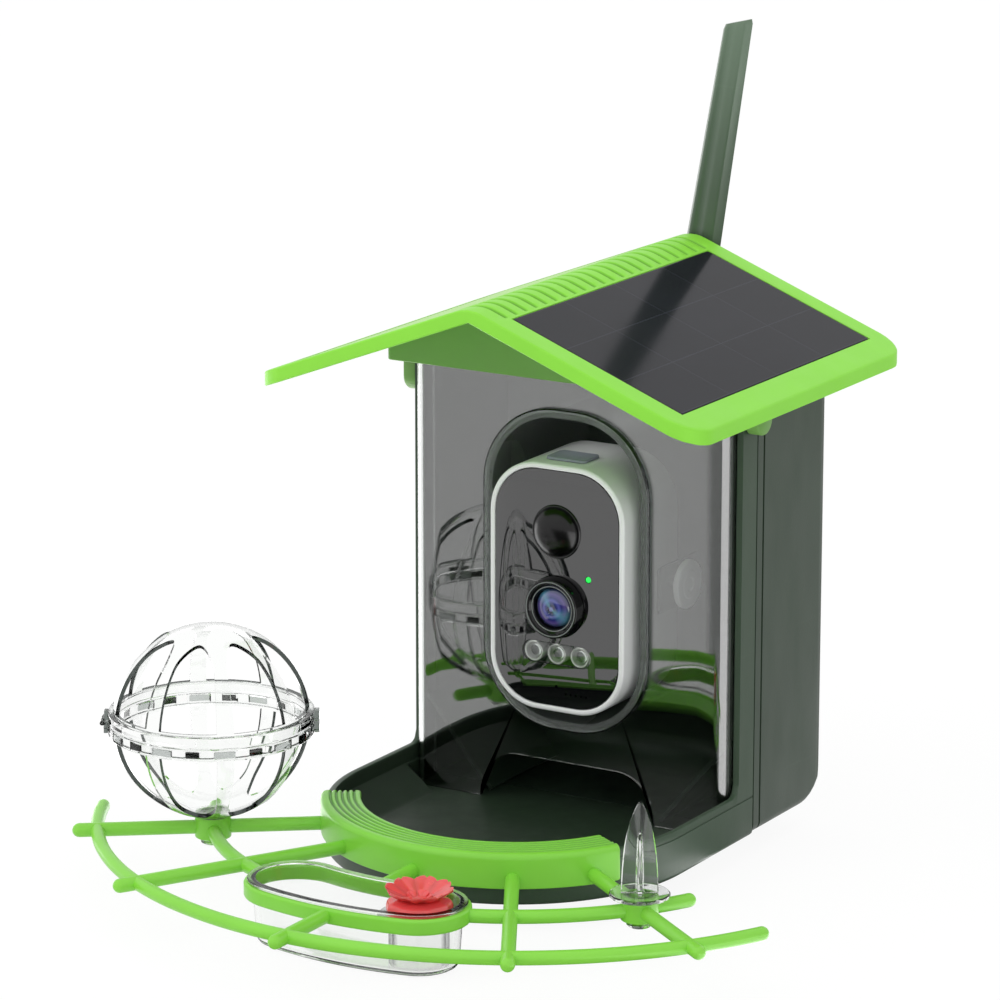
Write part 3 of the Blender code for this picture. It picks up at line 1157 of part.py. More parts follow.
def make_spike():
    tip = BOSS_BOTTOM_Z - SPIKE_Z - PLUG_BELOW
    core = [(0, SPIKE_HEIGHT)]
    for share in (0.97, 0.9, 0.7, 0.4):
        core.append((min(SPIKE_CORE, ogive(share)), SPIKE_HEIGHT * share))
    core += [(SPIKE_CORE, SPIKE_FOOT), (SPIKE_FOOT_RADIUS, SPIKE_FOOT), (SPIKE_FOOT_RADIUS, 0), (PLUG_RADIUS, 0),
             (PLUG_RADIUS, tip), (0, tip)]
    spike = turned("fruit_spike", core, (SPIKE_X, SPIKE_Y, SPIKE_Z), "Z", 20, material=CLEAR)
    shares = [i / 6 for i in range(7)]
    right = [(ogive(share), SPIKE_HEIGHT * share) for share in shares[:-1]]
    outline = right + [(0, SPIKE_HEIGHT - BITE)] + [(-x, z) for x, z in reversed(right)]
    outline[0] = (outline[0][0], SPIKE_FOOT / 2)
    outline[-1] = (outline[-1][0], SPIKE_FOOT / 2)
    for i in range(SPIKE_FINS // 2):
        fin = prism("spike_fin_%d" % (i + 1), [outline], SPIKE_FIN, (0, 0, 0), "XZ", CUTTERS)
        turn = Matrix.Rotation(2 * pi / SPIKE_FINS * i, 4, "Z")
        fin.matrix_world = Matrix.Translation((SPIKE_X, SPIKE_Y, SPIKE_Z)) @ turn @ PLANE_TURN["XZ"]
        join(spike, fin)
    hang(carrier("spike_lift", (SPIKE_X, SPIKE_Y, SPIKE_Z)), spike)


# Nectar trough: a clear kidney-shaped cup hung in the ring by its lip, with a round well for the flower
TROUGH_HALF_WIDTH = RING_HALF_WIDTH - RING_WALL - RUNNING_GAP
TROUGH_DRAFT = 0.0020
TROUGH_LIP_HALF = 0.0205
TROUGH_LIP = 0.0011
TROUGH_SHEET = 0.0017
TROUGH_DEPTH = 0.0281
TROUGH_BOTTOM_Z = RING_TOP_Z + SEAT_GAP + TROUGH_LIP - TROUGH_DEPTH
WELL_RADIUS = 0.0127
WELL_SHEET = 0.0015
SHELF_DROP = 0.0034
SHELF = 0.0015
SHELF_TOP_Z = RING_TOP_Z - SHELF_DROP


def make_trough():
    lip_z = RING_TOP_Z + SEAT_GAP
    top = lip_z + TROUGH_LIP
    foot = TROUGH_HALF_WIDTH - TROUGH_DRAFT
    floor = TROUGH_BOTTOM_Z + TROUGH_SHEET
    stations = ((foot - TROUGH_SHEET, TROUGH_BOTTOM_Z), (foot, floor), (TROUGH_HALF_WIDTH, lip_z),
                (TROUGH_LIP_HALF, lip_z), (TROUGH_LIP_HALF, top), (TROUGH_HALF_WIDTH - TROUGH_SHEET, top),
                (foot - TROUGH_SHEET, floor))
    loops = [[(x, y, z) for x, y in kidney(half, INNER_ARC, TROUGH_HALF_DEGREES)] for half, z in stations]
    trough = loft("nectar_trough", loops, material=CLEAR)
    x, y = polar(INNER_ARC, TROUGH_HALF_DEGREES)
    inner = WELL_RADIUS - WELL_SHEET
    shelf_edge = TROUGH_HALF_WIDTH - TROUGH_SHEET / 2
    low = floor - TROUGH_SHEET / 2
    well_profile = [(inner, SHELF_TOP_Z), (shelf_edge, SHELF_TOP_Z), (shelf_edge, SHELF_TOP_Z - SHELF),
                    (WELL_RADIUS, SHELF_TOP_Z - SHELF), (WELL_RADIUS, low), (inner, low)]
    well = turned("flower_well", well_profile, (x, y, 0), "Z", 24, closed=True, group=CUTTERS)
    join(trough, well)
    hang(carrier("trough_lift", (*polar(INNER_ARC, 0), RING_TOP_Z)), trough)


# Flower: a soft bulb with eight petals, resting on the well's shelf
FLOWER_PETALS = 8
FLOWER_RADIUS = 0.0148
FLOWER_BULB = 0.0146
FLOWER_WAIST = 0.0112
FLOWER_HEIGHT = 0.0118
FLOWER_PLUG = 0.0100
FLOWER_PLUG_DEPTH = 0.004
PETAL_SHARE = 0.16


def flower_loop(radius, height, wave, points=40):
    """A round section whose edge waves out once for each petal."""
    loop = []
    for i in range(points):
        turn = 2 * pi * i / points
        reach = radius * (1 - wave + wave * abs(cos(FLOWER_PETALS / 2 * turn)))
        loop.append((reach * cos(turn), reach * sin(turn), height))
    return loop


def make_flower():
    foot = SHELF_TOP_Z + SEAT_GAP
    bulb_top = FLOWER_HEIGHT / 2
    sheet = BALL_SHEET
    stations = ((FLOWER_PLUG, -FLOWER_PLUG_DEPTH, 0), (FLOWER_PLUG, 0, 0), (FLOWER_BULB - sheet / 2, 0, 0),
                (FLOWER_BULB, bulb_top / 2, 0), (FLOWER_WAIST, bulb_top + sheet / 2, PETAL_SHARE / 2),
                (FLOWER_RADIUS, FLOWER_HEIGHT - sheet / 2, PETAL_SHARE), (FLOWER_RADIUS - sheet / 2, FLOWER_HEIGHT,
                                                                          PETAL_SHARE),
                (FLOWER_WAIST / 2, bulb_top + sheet, 0))
    loops = [flower_loop(radius, height, wave) for radius, height, wave in stations]
    x, y = polar(INNER_ARC, TROUGH_HALF_DEGREES)
    flower = loft("flower", loops, (x, y, foot), material=RED)
    hang(carrier("flower_lift", (x, y, foot)), flower)


make_rear_shell()
make_front_housing()
make_hopper_window()
make_camera_tunnel()
make_seed_ramps()
make_roof()
make_antenna()
make_camera()
make_tilt_knobs()
make_perch()
make_ball()
make_spike()
make_trough()
make_flower()
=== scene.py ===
import bpy
import numpy as np
from mathutils import Euler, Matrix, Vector
from mathutils.geometry import tessellate_polygon


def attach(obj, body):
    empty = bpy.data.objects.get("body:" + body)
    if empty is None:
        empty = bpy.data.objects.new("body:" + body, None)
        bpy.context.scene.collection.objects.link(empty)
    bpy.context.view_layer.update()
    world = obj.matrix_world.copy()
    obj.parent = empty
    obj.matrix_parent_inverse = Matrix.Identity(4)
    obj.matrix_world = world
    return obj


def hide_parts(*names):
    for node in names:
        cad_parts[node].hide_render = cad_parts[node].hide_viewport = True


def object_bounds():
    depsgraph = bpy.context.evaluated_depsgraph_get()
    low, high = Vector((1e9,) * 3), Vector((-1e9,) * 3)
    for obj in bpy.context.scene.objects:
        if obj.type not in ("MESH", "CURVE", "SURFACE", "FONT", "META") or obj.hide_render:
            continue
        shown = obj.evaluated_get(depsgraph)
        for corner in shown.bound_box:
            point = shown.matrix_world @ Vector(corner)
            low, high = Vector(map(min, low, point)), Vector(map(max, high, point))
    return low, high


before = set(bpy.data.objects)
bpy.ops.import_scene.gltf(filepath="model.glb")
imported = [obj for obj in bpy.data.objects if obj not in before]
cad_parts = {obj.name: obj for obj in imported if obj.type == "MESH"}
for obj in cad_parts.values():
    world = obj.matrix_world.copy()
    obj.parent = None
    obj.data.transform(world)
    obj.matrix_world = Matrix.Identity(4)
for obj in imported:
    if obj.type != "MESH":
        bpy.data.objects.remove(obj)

cad_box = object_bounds()


# Viewpoint: a long lens ahead of the feeder and to its right, a little above the roof's eaves. It stands
# far off, so the feeder shows almost no perspective.
view = bpy.data.cameras.new("view")
view.sensor_width = 36
view.lens = 172.64
view.clip_end = 50
viewer = bpy.data.objects.new("view", view)
viewer.location = (1.0286, -1.8167, 0.6663)
viewer.rotation_euler = Euler(np.radians((90 - 14.233, 0, 30.97)))
bpy.context.scene.collection.objects.link(viewer)
bpy.context.scene.camera = viewer
bpy.context.scene.view_settings.view_transform = "Standard"


# Studio: a white room. Gloss and clear plastic see it as plain white, while the light on matt surfaces is
# stronger from above, with one wide soft lamp high on the left. A weak lamp that gloss and lens don't see
# lights the camera's top, which the roof would leave dim and green.
def srgb(red, green, blue, share=1.0):
    """An 0-255 screen colour as linear light, times a share."""
    value = np.array((red, green, blue)) / 255
    linear = np.where(value > 0.04045, ((value + 0.055) / 1.055) ** 2.4, value / 12.92) * share
    return (*linear.tolist(), 1.0)


def set_sockets(tree, node, sockets):
    """Gives each socket its value, or links it to the output that stands in the value's place."""
    for socket, value in sockets.items():
        if isinstance(value, bpy.types.NodeSocket):
            tree.links.new(value, node.inputs[socket])
        else:
            node.inputs[socket].default_value = value


def add(tree, kind, sockets=None, **settings):
    """A shader node with its settings and its sockets set."""
    node = tree.nodes.new("ShaderNode" + kind)
    for name, value in settings.items():
        setattr(node, name, value)
    set_sockets(tree, node, sockets or {})
    return node


def maths(tree, operation, first, second, clamp=False):
    """The result of one sum on two values."""
    return add(tree, "Math", {0: first, 1: second}, operation=operation, use_clamp=clamp).outputs[0]


def spread_over(tree, source, start, end, low=0.0, high=1.0):
    """Carries a value from the range start to end over to the range low to high."""
    return add(tree, "MapRange", {"From Min": start, "From Max": end, "To Min": low, "To Max": high,
                                  "Value": source}).outputs[0]


def add_ramp(tree, source, stops):
    """A ramp through stops of a place and a colour or a grey. The first stands at 0 and the last at 1."""
    ramp = add(tree, "ValToRGB", {0: source})
    stops = [(at, tint if isinstance(tint, tuple) else (tint, tint, tint, 1)) for at, tint in stops]
    ramp.color_ramp.elements[0].color, ramp.color_ramp.elements[1].color = stops[0][1], stops[-1][1]
    for at, tint in stops[1:-1]:
        ramp.color_ramp.elements.new(at).color = tint
    return ramp.outputs[0]


def looked_at(tree, ray):
    """One for a ray of the lens, of gloss or through clear plastic, nought for light on matt surfaces."""
    either = maths(tree, "MAXIMUM", ray.outputs["Is Camera Ray"], ray.outputs["Is Glossy Ray"])
    return maths(tree, "MAXIMUM", either, ray.outputs["Is Transmission Ray"])


def mix_shaders(tree, share, first, second):
    """Two shaders mixed by a share of the second."""
    return add(tree, "MixShader", {0: share, 1: first.outputs[0], 2: second.outputs[0]}).outputs[0]


def add_light(name, place, **settings):
    """An area light that faces down. Its sizes are in metres and its energy in watts."""
    light = bpy.data.lights.new(name, "AREA")
    for setting, value in settings.items():
        setattr(light, setting, value)
    holder = bpy.data.objects.new(name, light)
    holder.location = place
    holder.visible_glossy = False
    bpy.context.scene.collection.objects.link(holder)
    return holder


ROOM_LOW, ROOM_LEVEL, ROOM_HIGH = 0.50, 0.80, 1.04
WHITE = (1, 1, 1, 1)
LAMP_WIDE, LAMP_WATTS, LAMP_AT = 1.6, 8.0, (-0.9, -1.3, 1.7)
FILL_WIDE, FILL_DEEP, FILL_WATTS, FILL_AT = 0.044, 0.036, 0.0030, (0.004, -0.026, 0.1825)

room = bpy.data.worlds.new("room")
room.use_nodes = True
bpy.context.scene.world = room
tree = room.node_tree
tree.nodes.clear()
height = add(tree, "SeparateXYZ", {0: add(tree, "TexCoord").outputs["Generated"]}).outputs["Z"]
tones = add_ramp(tree, spread_over(tree, height, -1, 1), ((0, ROOM_LOW), (0.5, ROOM_LEVEL), (1, ROOM_HIGH)))
room_light = mix_shaders(tree, looked_at(tree, add(tree, "LightPath")),
                         add(tree, "Background", {"Color": tones}), add(tree, "Background", {"Color": WHITE}))
add(tree, "OutputWorld", {"Surface": room_light})

lamp = add_light("soft_lamp", LAMP_AT, shape="DISK", size=LAMP_WIDE, energy=LAMP_WATTS)
lamp.rotation_euler = (-lamp.location).to_track_quat("-Z", "Y").to_euler()
fill = add_light("fill_lamp", FILL_AT, shape="RECTANGLE", size=FILL_WIDE, size_y=FILL_DEEP, energy=FILL_WATTS)
fill.visible_camera = fill.visible_transmission = False


# Floor: a pale sheet under the perches, a little below the clear cup's foot. It is white where nothing
# shades it and keeps a faint soft shadow. Gloss mirrors it with bright and dark cards laid out round the
# feeder, which draw the lines along the window's bent corners.
FLOOR_DROP, FLOOR_REACH = 0.0008, 6.0
FLOOR_TONE, FLOOR_DRIFT = 0.90, 0.01
FLOOR_GLOW, FLOOR_SEEN = 0.90, 1.02
CARD_CENTRE, CARD_GREY = (0.078, -0.042), 0.3
CARDS = ((0, 1.0), (0.030, 1.0), (0.045, CARD_GREY), (0.176, CARD_GREY), (0.184, 0.01), (0.311, 0.01),
         (0.328, 1.0), (0.485, 1.0), (0.506, 0.01), (0.640, 0.08), (0.690, CARD_GREY), (0.868, CARD_GREY),
         (0.890, 0.6), (0.925, 1.0), (1, 1.0))


def linked(rows, columns, wrap_rows=False, wrap_columns=False, start=0):
    """Quads of a grid numbered row by row: each joins a point, the next in its row, and the two above."""
    row, column = np.meshgrid(np.arange(rows if wrap_rows else rows - 1),
                              np.arange(columns if wrap_columns else columns - 1), indexing="ij")
    up, on = (row + 1) % rows, (column + 1) % columns
    corners = (row * columns + column, row * columns + on, up * columns + on, up * columns + column)
    return np.stack(corners, -1).reshape(-1, 4) + start


def volume(points, faces):
    """The sum of pyramids from the origin to the triangles that fan out from each face's first corner."""
    total = 0.0
    for group in faces:
        first = points[group[:, 0]]
        for i in range(1, group.shape[1] - 1):
            total += np.einsum("ij,ij->", first, np.cross(points[group[:, i]], points[group[:, i + 1]])) / 6
    return total


def new_piece(name, shells, finish, body=None, nodes=(), crease=32, rims=(), painted_shade_amount=None):
    """One mesh of closed shells, each (points, faces, faces...). A shell of negative volume is turned
    round, so every face points outwards. Edges that turn by more than the crease angle stay sharp. The last
    faces of the shells numbered in rims carry a rim mark, and each point can carry a share of painted
    shade, which darkens hollows and insides."""
    points, faces, rim_marks, start = [], [], [], 0
    for number, (shell_points, *groups) in enumerate(shells):
        turned_in = volume(shell_points, groups) < 0
        for group in groups:
            faces += (start + (group[:, ::-1] if turned_in else group)).tolist()
            rim_marks += [float(number in rims and group is groups[-1])] * len(group)
        points.append(shell_points)
        start += len(shell_points)
    mesh = bpy.data.meshes.new(name)
    mesh.from_pydata(np.concatenate(points).tolist(), [], faces)
    mesh.validate()
    mesh.polygons.foreach_set("use_smooth", np.ones(len(mesh.polygons), bool))
    mesh.set_sharp_from_angle(angle=np.radians(crease))
    mesh.materials.append(finish)
    if rims:
        mesh.attributes.new("rim", "FLOAT", "FACE").data.foreach_set("value", rim_marks)
    if painted_shade_amount is not None:
        depths = np.ravel(painted_shade_amount).astype(float)
        mesh.attributes.new("painted_shade_mark", "FLOAT", "POINT").data.foreach_set("value", depths)
    piece = bpy.data.objects.new(name, mesh)
    bpy.context.scene.collection.objects.link(piece)
    if body:
        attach(piece, body)
    if nodes:
        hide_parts(*nodes)
    return piece


def new_finish(name, sockets=None):
    """A material with its node tree and its shader, whose sockets are set."""
    finish = bpy.data.materials.new(name)
    finish.use_nodes = True
    tree = finish.node_tree
    set_sockets(tree, tree.nodes["Principled BSDF"], sockets or {})
    return finish, tree, tree.nodes["Principled BSDF"]


paper, tree, matt = new_finish("white_paper_floor", {"Roughness": 0.9, "Specular IOR Level": 0.0})
fibre = add(tree, "TexNoise", {"Scale": 9}).outputs["Fac"]
set_sockets(tree, matt, {"Base Color": spread_over(tree, fibre, 0, 1, FLOOR_TONE - FLOOR_DRIFT,
                                                          FLOOR_TONE + FLOOR_DRIFT)})
from_corner = add(tree, "Mapping", {"Vector": add(tree, "TexCoord").outputs["Object"],
                                    "Location": (-CARD_CENTRE[0], -CARD_CENTRE[1], 0)})
around = add(tree, "TexGradient", {"Vector": from_corner.outputs["Vector"]},
             gradient_type="RADIAL").outputs["Fac"]
cards = add_ramp(tree, around, CARDS)
ray = add(tree, "LightPath")
mirrored = maths(tree, "SUBTRACT", ray.outputs["Is Glossy Ray"], ray.outputs["Is Transmission Ray"],
                 clamp=True)
strength = add(tree, "Mix", {0: mirrored, 2: FLOOR_SEEN, 3: maths(tree, "DIVIDE", cards, CARD_GREY)})
glow = add(tree, "Emission", {"Color": WHITE, "Strength": strength.outputs[0]})
seen_share = maths(tree, "MULTIPLY", looked_at(tree, ray), FLOOR_GLOW)
set_sockets(tree, tree.nodes["Material Output"], {"Surface": mix_shaders(tree, seen_share, matt, glow)})

line = np.linspace(-FLOOR_REACH, FLOOR_REACH, 9)
across, along = np.meshgrid(line, line)
floor_points = np.stack((across, along, np.full_like(across, cad_box[0][2] - FLOOR_DROP)), -1).reshape(-1, 3)
floor = new_piece("floor", [(floor_points, linked(9, 9))], paper)


# Rear case: the deep box that holds the seed, moulded in dark green plastic with a fine matt grain. It is
# open to the front and to the roof, its back edge is well rounded underneath, and a thin groove runs round
# it by the seam. The inside is a deeper green than the outside, a painted shade for the shade in the box.
HALF_HOUSE, HOUSE_TOP, WALL = 0.0835, 0.212, 0.003
SEAM, CASE_BACK, CASE_MIDWAY = -0.0244, 0.042, 0.1
CASE_SIDE_ROUND, CASE_INNER_ROUND, CASE_REAR_ROUND = 0.0045, 0.0015, 0.018
CASE_GROOVE, GROOVE_HALF, GROOVE_DEEP, GROOVE_SIDE = -0.0183, 0.00065, 0.0010, 0.00005
# The deeper green is a painted shade for the inside, where the walls shade it; the inside share says how much
# of it shows.
DARK_GREEN, PAINTED_SHADE_GREEN = srgb(52, 67, 53), srgb(34, 47, 35)
INSIDE_SHADE = 0.8


def fall(radius, reach):
    """How far an edge rounded to a quarter circle falls at a reach from its end."""
    return radius - np.sqrt(np.maximum(radius ** 2 - np.maximum(radius - reach, 0) ** 2, 0))


def one_long(vectors):
    """Vectors scaled to a length of one."""
    return vectors / np.maximum(np.linalg.norm(vectors, axis=-1, keepdims=True), 1e-12)


def rounded_path(corners, radii, steps=6, closed=False):
    """A polyline whose corners become arcs. Each arc starts and ends where a circle of its radius touches
    the two sides, and a corner of radius nought stays one point."""
    corner = np.asarray(corners, float)
    radius = np.broadcast_to(np.asarray(radii, float), len(corner)).copy()
    if not closed:
        radius[[0, -1]] = 0
    coming, going = one_long(corner - np.roll(corner, 1, 0)), one_long(np.roll(corner, -1, 0) - corner)
    cosine = np.clip((coming * going).sum(1), -1, 1)
    turn = np.arccos(cosine)
    inward = one_long(going - coming * cosine[:, None])
    radius = np.where((turn < 1e-6) | (turn > 3.13), 0, radius)
    start = corner - coming * (radius * np.tan(np.minimum(turn, 3.1) / 2))[:, None]
    step = np.linspace(0, 1, steps + 1)
    angle = turn[:, None, None] * step[None, :, None]
    reach = radius[:, None, None]
    forward = coming[:, None] * np.sin(angle) * reach
    turned = inward[:, None] * (1 - np.cos(angle)) * reach
    points = start[:, None] + forward + turned
    keep = (radius[:, None] > 0) | (step[None] == 0)
    return points[keep]


def rungs(count, start=0):
    """Quads that close a symmetrical row of points: each spans from one half to the mirrored half."""
    i = np.arange(count // 2 - 1)
    return np.stack((i, i + 1, count - 2 - i, count - 1 - i), -1) + start


def thickened(front, back, *groups):
    """Closes a wall. It has the front faces, the same faces turned round on the back's points, and a strip
    of quads along every edge that only one face has."""
    edges = np.concatenate([group[:, [i, (i + 1) % group.shape[1]]] for group in groups
                            for i in range(group.shape[1])])
    _, first, count = np.unique(np.sort(edges, 1), axis=0, return_index=True, return_counts=True)
    rim = edges[first[count == 1]]
    n = len(front)
    strip = np.stack((rim[:, 1], rim[:, 0], rim[:, 0] + n, rim[:, 1] + n), -1)
    return (np.concatenate((front, back)), *groups, *[group[:, ::-1] + n for group in groups], strip)


def walled(outer, inner):
    """The wall between two grids of U-shaped rows. The last row is closed straight across."""
    rows, columns = outer.shape[:2]
    faces = np.concatenate((linked(rows, columns), rungs(columns, (rows - 1) * columns)))
    return thickened(outer.reshape(-1, 3), inner.reshape(-1, 3), faces)


def textured(tree, scale, detail=2.0, stretch=None):
    """Noise read in the piece's own object coordinates, stretched if asked."""
    source = add(tree, "TexCoord").outputs["Object"]
    if stretch:
        source = add(tree, "Mapping", {"Vector": source, "Scale": stretch}).outputs["Vector"]
    return add(tree, "TexNoise", {"Scale": scale, "Detail": detail, "Vector": source}).outputs["Fac"]


def ranged(tree, source, low, high):
    """Spreads a texture's middle values, 0.3 to 0.7, between low and high."""
    return spread_over(tree, source, 0.3, 0.7, low, high)


def tinted(tree, colour, source, low, high):
    """A colour, made darker or lighter from low to high by a texture."""
    return add(tree, "HueSaturation", {"Color": colour, "Value": ranged(tree, source, low, high)}).outputs[0]


def mixed(tree, share, first, second):
    """Two colours mixed by a share of the second."""
    return add(tree, "Mix", {0: share, 6: first, 7: second}, data_type="RGBA").outputs[2]


def relief(tree, height, strength, distance, **settings):
    """A normal that shows a height as relief."""
    return add(tree, "Bump", {"Strength": strength, "Distance": distance, "Height": height},
               **settings).outputs[0]


def moulded(name, tint, roughness, spread=0.05, cloud=0.05, grain=900, grain_depth=0.10, scuffs=0.0,
            level=0.5, painted_shade_colour=None, **sockets):
    """Moulded plastic: a tint that drifts a little in soft clouds, a fine grain in relief, and a roughness
    that wanders. Scuffs are thin lighter marks where the grain is worn. Points marked with painted shade
    take a darker tint, in hollows and on insides."""
    finish, tree, shader = new_finish(name, {"Specular IOR Level": level, **sockets})
    colour = tinted(tree, tint, textured(tree, 26, 4), 1 - cloud, 1 + cloud)
    if scuffs:
        marks = spread_over(tree, textured(tree, 160, 8, (0.2, 0.2, 2.4)), 0.66, 0.72, 0, scuffs)
        colour = mixed(tree, marks, colour, tuple(min(1.0, c * 1.6 + 0.02) for c in tint[:3]) + (1,))
    # Painted shade: the marked points mix towards the darker tint by their share.
    if painted_shade_colour:
        depth = add(tree, "Attribute", attribute_name="painted_shade_mark").outputs["Fac"]
        colour = mixed(tree, depth, colour, painted_shade_colour)
    set_sockets(tree, shader, {
        "Base Color": colour,
        "Roughness": ranged(tree, textured(tree, 75, 6, (1, 1, 0.35)),
                            roughness - spread, roughness + spread),
        "Normal": relief(tree, textured(tree, grain, 3), grain_depth, 0.0004)})
    return finish


def case_rows(depths, inset):
    """U-shaped rows across the box, left wall, bottom and right wall. At each depth the walls move in as
    the upright back edge rounds off, and the bottom moves up as the wide lower back edge does."""
    depth = np.asarray(depths, float)[:, None]
    to_back = CASE_BACK - inset - depth
    wide, side = HALF_HOUSE - inset, np.maximum(CASE_SIDE_ROUND - inset, CASE_INNER_ROUND)
    low_in = fall(CASE_REAR_ROUND - inset, to_back)
    flat = rounded_path([(-wide, HOUSE_TOP), (-wide, inset), (0, inset), (wide, inset), (wide, HOUSE_TOP)],
                        (0, side, 0, side, 0))
    flat = np.insert(flat, [1, len(flat) - 1], [(-wide, CASE_MIDWAY), (wide, CASE_MIDWAY)], 0)
    x = flat[None, :, 0] * (1 - fall(side, to_back) / wide)
    z = inset + low_in + (flat[None, :, 1] - inset) * (HOUSE_TOP - inset - low_in) / (HOUSE_TOP - inset)
    return np.stack((x, np.broadcast_to(depth, x.shape), z), -1)


bend = np.linspace(0, np.pi / 2, 8)
curve_start = CASE_BACK - CASE_REAR_ROUND
groove_edges = np.array((GROOVE_HALF, GROOVE_HALF + GROOVE_SIDE))
groove_steps = CASE_GROOVE + np.concatenate((-groove_edges[::-1], groove_edges))
outer = case_rows(np.concatenate(((SEAM, SEAM + 0.0004, SEAM + 0.0005), groove_steps, (0,),
                                  curve_start + CASE_REAR_ROUND * np.sin(bend))), 0)
sunk = np.zeros((len(outer), 1))
sunk[[0, 1, 4, 5], 0] = (0.0010, 0.0006, GROOVE_DEEP, GROOVE_DEEP)
outer[:, :, 0] *= 1 - sunk / HALF_HOUSE
outer[:, :, 2] += sunk * (outer[:, :, 2] < 0.004)
inner = case_rows(np.concatenate((np.linspace(SEAM, 0, 8),
                                  curve_start + (CASE_REAR_ROUND - WALL) * np.sin(bend))), WALL)
dark_plastic = moulded("dark_green_plastic", DARK_GREEN, 0.42, grain=1100, grain_depth=0.12, scuffs=0.10,
                       level=0.4, painted_shade_colour=PAINTED_SHADE_GREEN)
# The inner face carries a share of painted shade, the outer face none.
new_piece("rear_case", [walled(outer, inner)], dark_plastic, "house", ["rear_shell"],
          painted_shade_amount=np.repeat((0, INSIDE_SHADE), outer.size // 3))


# Front frame: the round feeding tray and the two uprights beside the window, one moulding in the same dark
# green plastic as the rear case, made a little lighter here as painted light on the front. It meets the
# rear case along the seam, and a shallow line runs round it under the rim.
FRAME_BACK, UPRIGHT_FRONT, HOPPER_FRONT, TRAY_CENTRE = -0.0249, -0.0373, -0.051, -0.0893
TRAY_TOP, TRAY_FLOOR, FILLET = 0.0215, 0.003, 0.006
SLOPE_WIDE, SLOPE_TOP = 0.013, 0.014
RIM_ROUND, TRAY_FOOT_ROUND = 0.0009, 0.0022
LINE_TOP, LINE_DEEP = 0.0187, 0.0004
# The front's green is the rear case's green made a little lighter, a painted light.
FRONT_LIT_GREEN = srgb(57, 75, 58)

side_y = np.array([FRAME_BACK, -0.0300, UPRIGHT_FRONT - 0.0004, UPRIGHT_FRONT - 0.0007])
swing = np.linspace(0, np.pi / 2, 7)[1:]
fillet_y = UPRIGHT_FRONT - 0.0007 - FILLET * np.sin(swing)
run_y = np.array([HOPPER_FRONT + 0.0006, HOPPER_FRONT - 0.0006, -0.062, -0.075, TRAY_CENTRE])
path_y = np.concatenate((side_y, fillet_y, run_y))
fillet_z = TRAY_TOP + FILLET * fall(1, np.sin(swing))
rim_z = np.concatenate(([HOUSE_TOP, HOUSE_TOP, HOUSE_TOP, TRAY_TOP + FILLET], fillet_z,
                        np.full(len(run_y), TRAY_TOP)))
around = np.linspace(0, np.pi, 61)[1:-1]
path_x = np.concatenate((np.full(len(path_y), 1.0), np.cos(around), np.full(len(path_y), -1.0)))
path_y = np.concatenate((path_y, TRAY_CENTRE - HALF_HOUSE * np.sin(around), path_y[::-1]))
rim_z = np.concatenate((rim_z, np.full(len(around), TRAY_TOP), rim_z[::-1]))
ahead = np.minimum(path_y - TRAY_CENTRE, 0)
straight = path_y >= TRAY_CENTRE - 1e-9
sloped = (path_y < HOPPER_FRONT).astype(float)


def tray_row(inset, height):
    """The tray's plan, two straight sides and a half circle, drawn in by an inset, at a height."""
    inset = np.broadcast_to(inset, path_x.shape)
    x = np.where(straight, np.sign(path_x) * (HALF_HOUSE - inset), path_x * (HALF_HOUSE - inset))
    y = np.where(straight, path_y, TRAY_CENTRE + ahead * (1 - inset / HALF_HOUSE))
    return np.stack((x, y, np.broadcast_to(height, x.shape)), -1)


foot = TRAY_FOOT_ROUND
slope_foot = WALL + SLOPE_WIDE * sloped
below_rim = rim_z - 0.0012
rounded_rim = ((RIM_ROUND, 0), (RIM_ROUND * 0.3, RIM_ROUND * 0.3), (0, RIM_ROUND))
outer = np.array([tray_row(*row) for row in (
    *[(inset, rim_z - drop) for inset, drop in rounded_rim], (0, np.minimum(below_rim, LINE_TOP)),
    (LINE_DEEP, LINE_TOP - 0.0002), (LINE_DEEP, LINE_TOP - 0.0008), (0, LINE_TOP - 0.0010), (0, 0.010),
    (0, foot), (foot * 0.13, foot * 0.5), (foot * 0.5, foot * 0.13), (foot, 0))])
inner = np.array([tray_row(*row) for row in (
    *[(WALL - inset, rim_z - drop) for inset, drop in rounded_rim],
    *[(WALL, np.minimum(below_rim, z)) for z in (LINE_TOP, 0.0180, 0.0170, 0.0160, SLOPE_TOP + 0.0004)],
    (WALL + 0.0006, SLOPE_TOP - 0.0004), (slope_foot - 0.0006 * sloped, TRAY_FLOOR + 0.0012),
    (slope_foot + 0.0008, TRAY_FLOOR + 0.0003), (slope_foot + 0.0020, TRAY_FLOOR))])
inside = np.broadcast_to((np.arange(len(outer)) > 1)[:, None], outer.shape[:2])
front_lit_plastic = moulded("dark_green_front_lit_plastic", FRONT_LIT_GREEN, 0.42, grain=1100, grain_depth=0.12,
                        scuffs=0.10, level=0.4, painted_shade_colour=PAINTED_SHADE_GREEN)
# As in the rear case, the inner face carries a share of painted shade and the outer face none.
new_piece("front_frame", [walled(outer, inner)], front_lit_plastic, "house", ["front_housing"],
          painted_shade_amount=(0 * inside, INSIDE_SHADE * inside))


# Seed ramps: two plain sheets of the same dark green plastic, fixed behind the window at each side. They
# slope down from the hopper's sides and lead the seed to the arch. Both carry the inside's painted shade
# all over.
RAMP_FRONT, RAMP_BACK = -0.0370, 0.024
RAMP_TOP, RAMP_FOOT = (0.0779, 0.0435), (0.045, 0.0033)
RAMP_SHEET, RAMP_LIP = 0.0020, 0.0008


def on_plane(flat, depth, plane):
    """Sets flat outlines in space: XY level at a height, XZ upright facing the front, YZ facing a side."""
    first, second = flat[..., 0], flat[..., 1]
    depth = np.broadcast_to(depth, first.shape)
    order = {"XY": (first, second, depth), "XZ": (first, depth, second), "YZ": (depth, first, second)}[plane]
    return np.stack(order, -1)


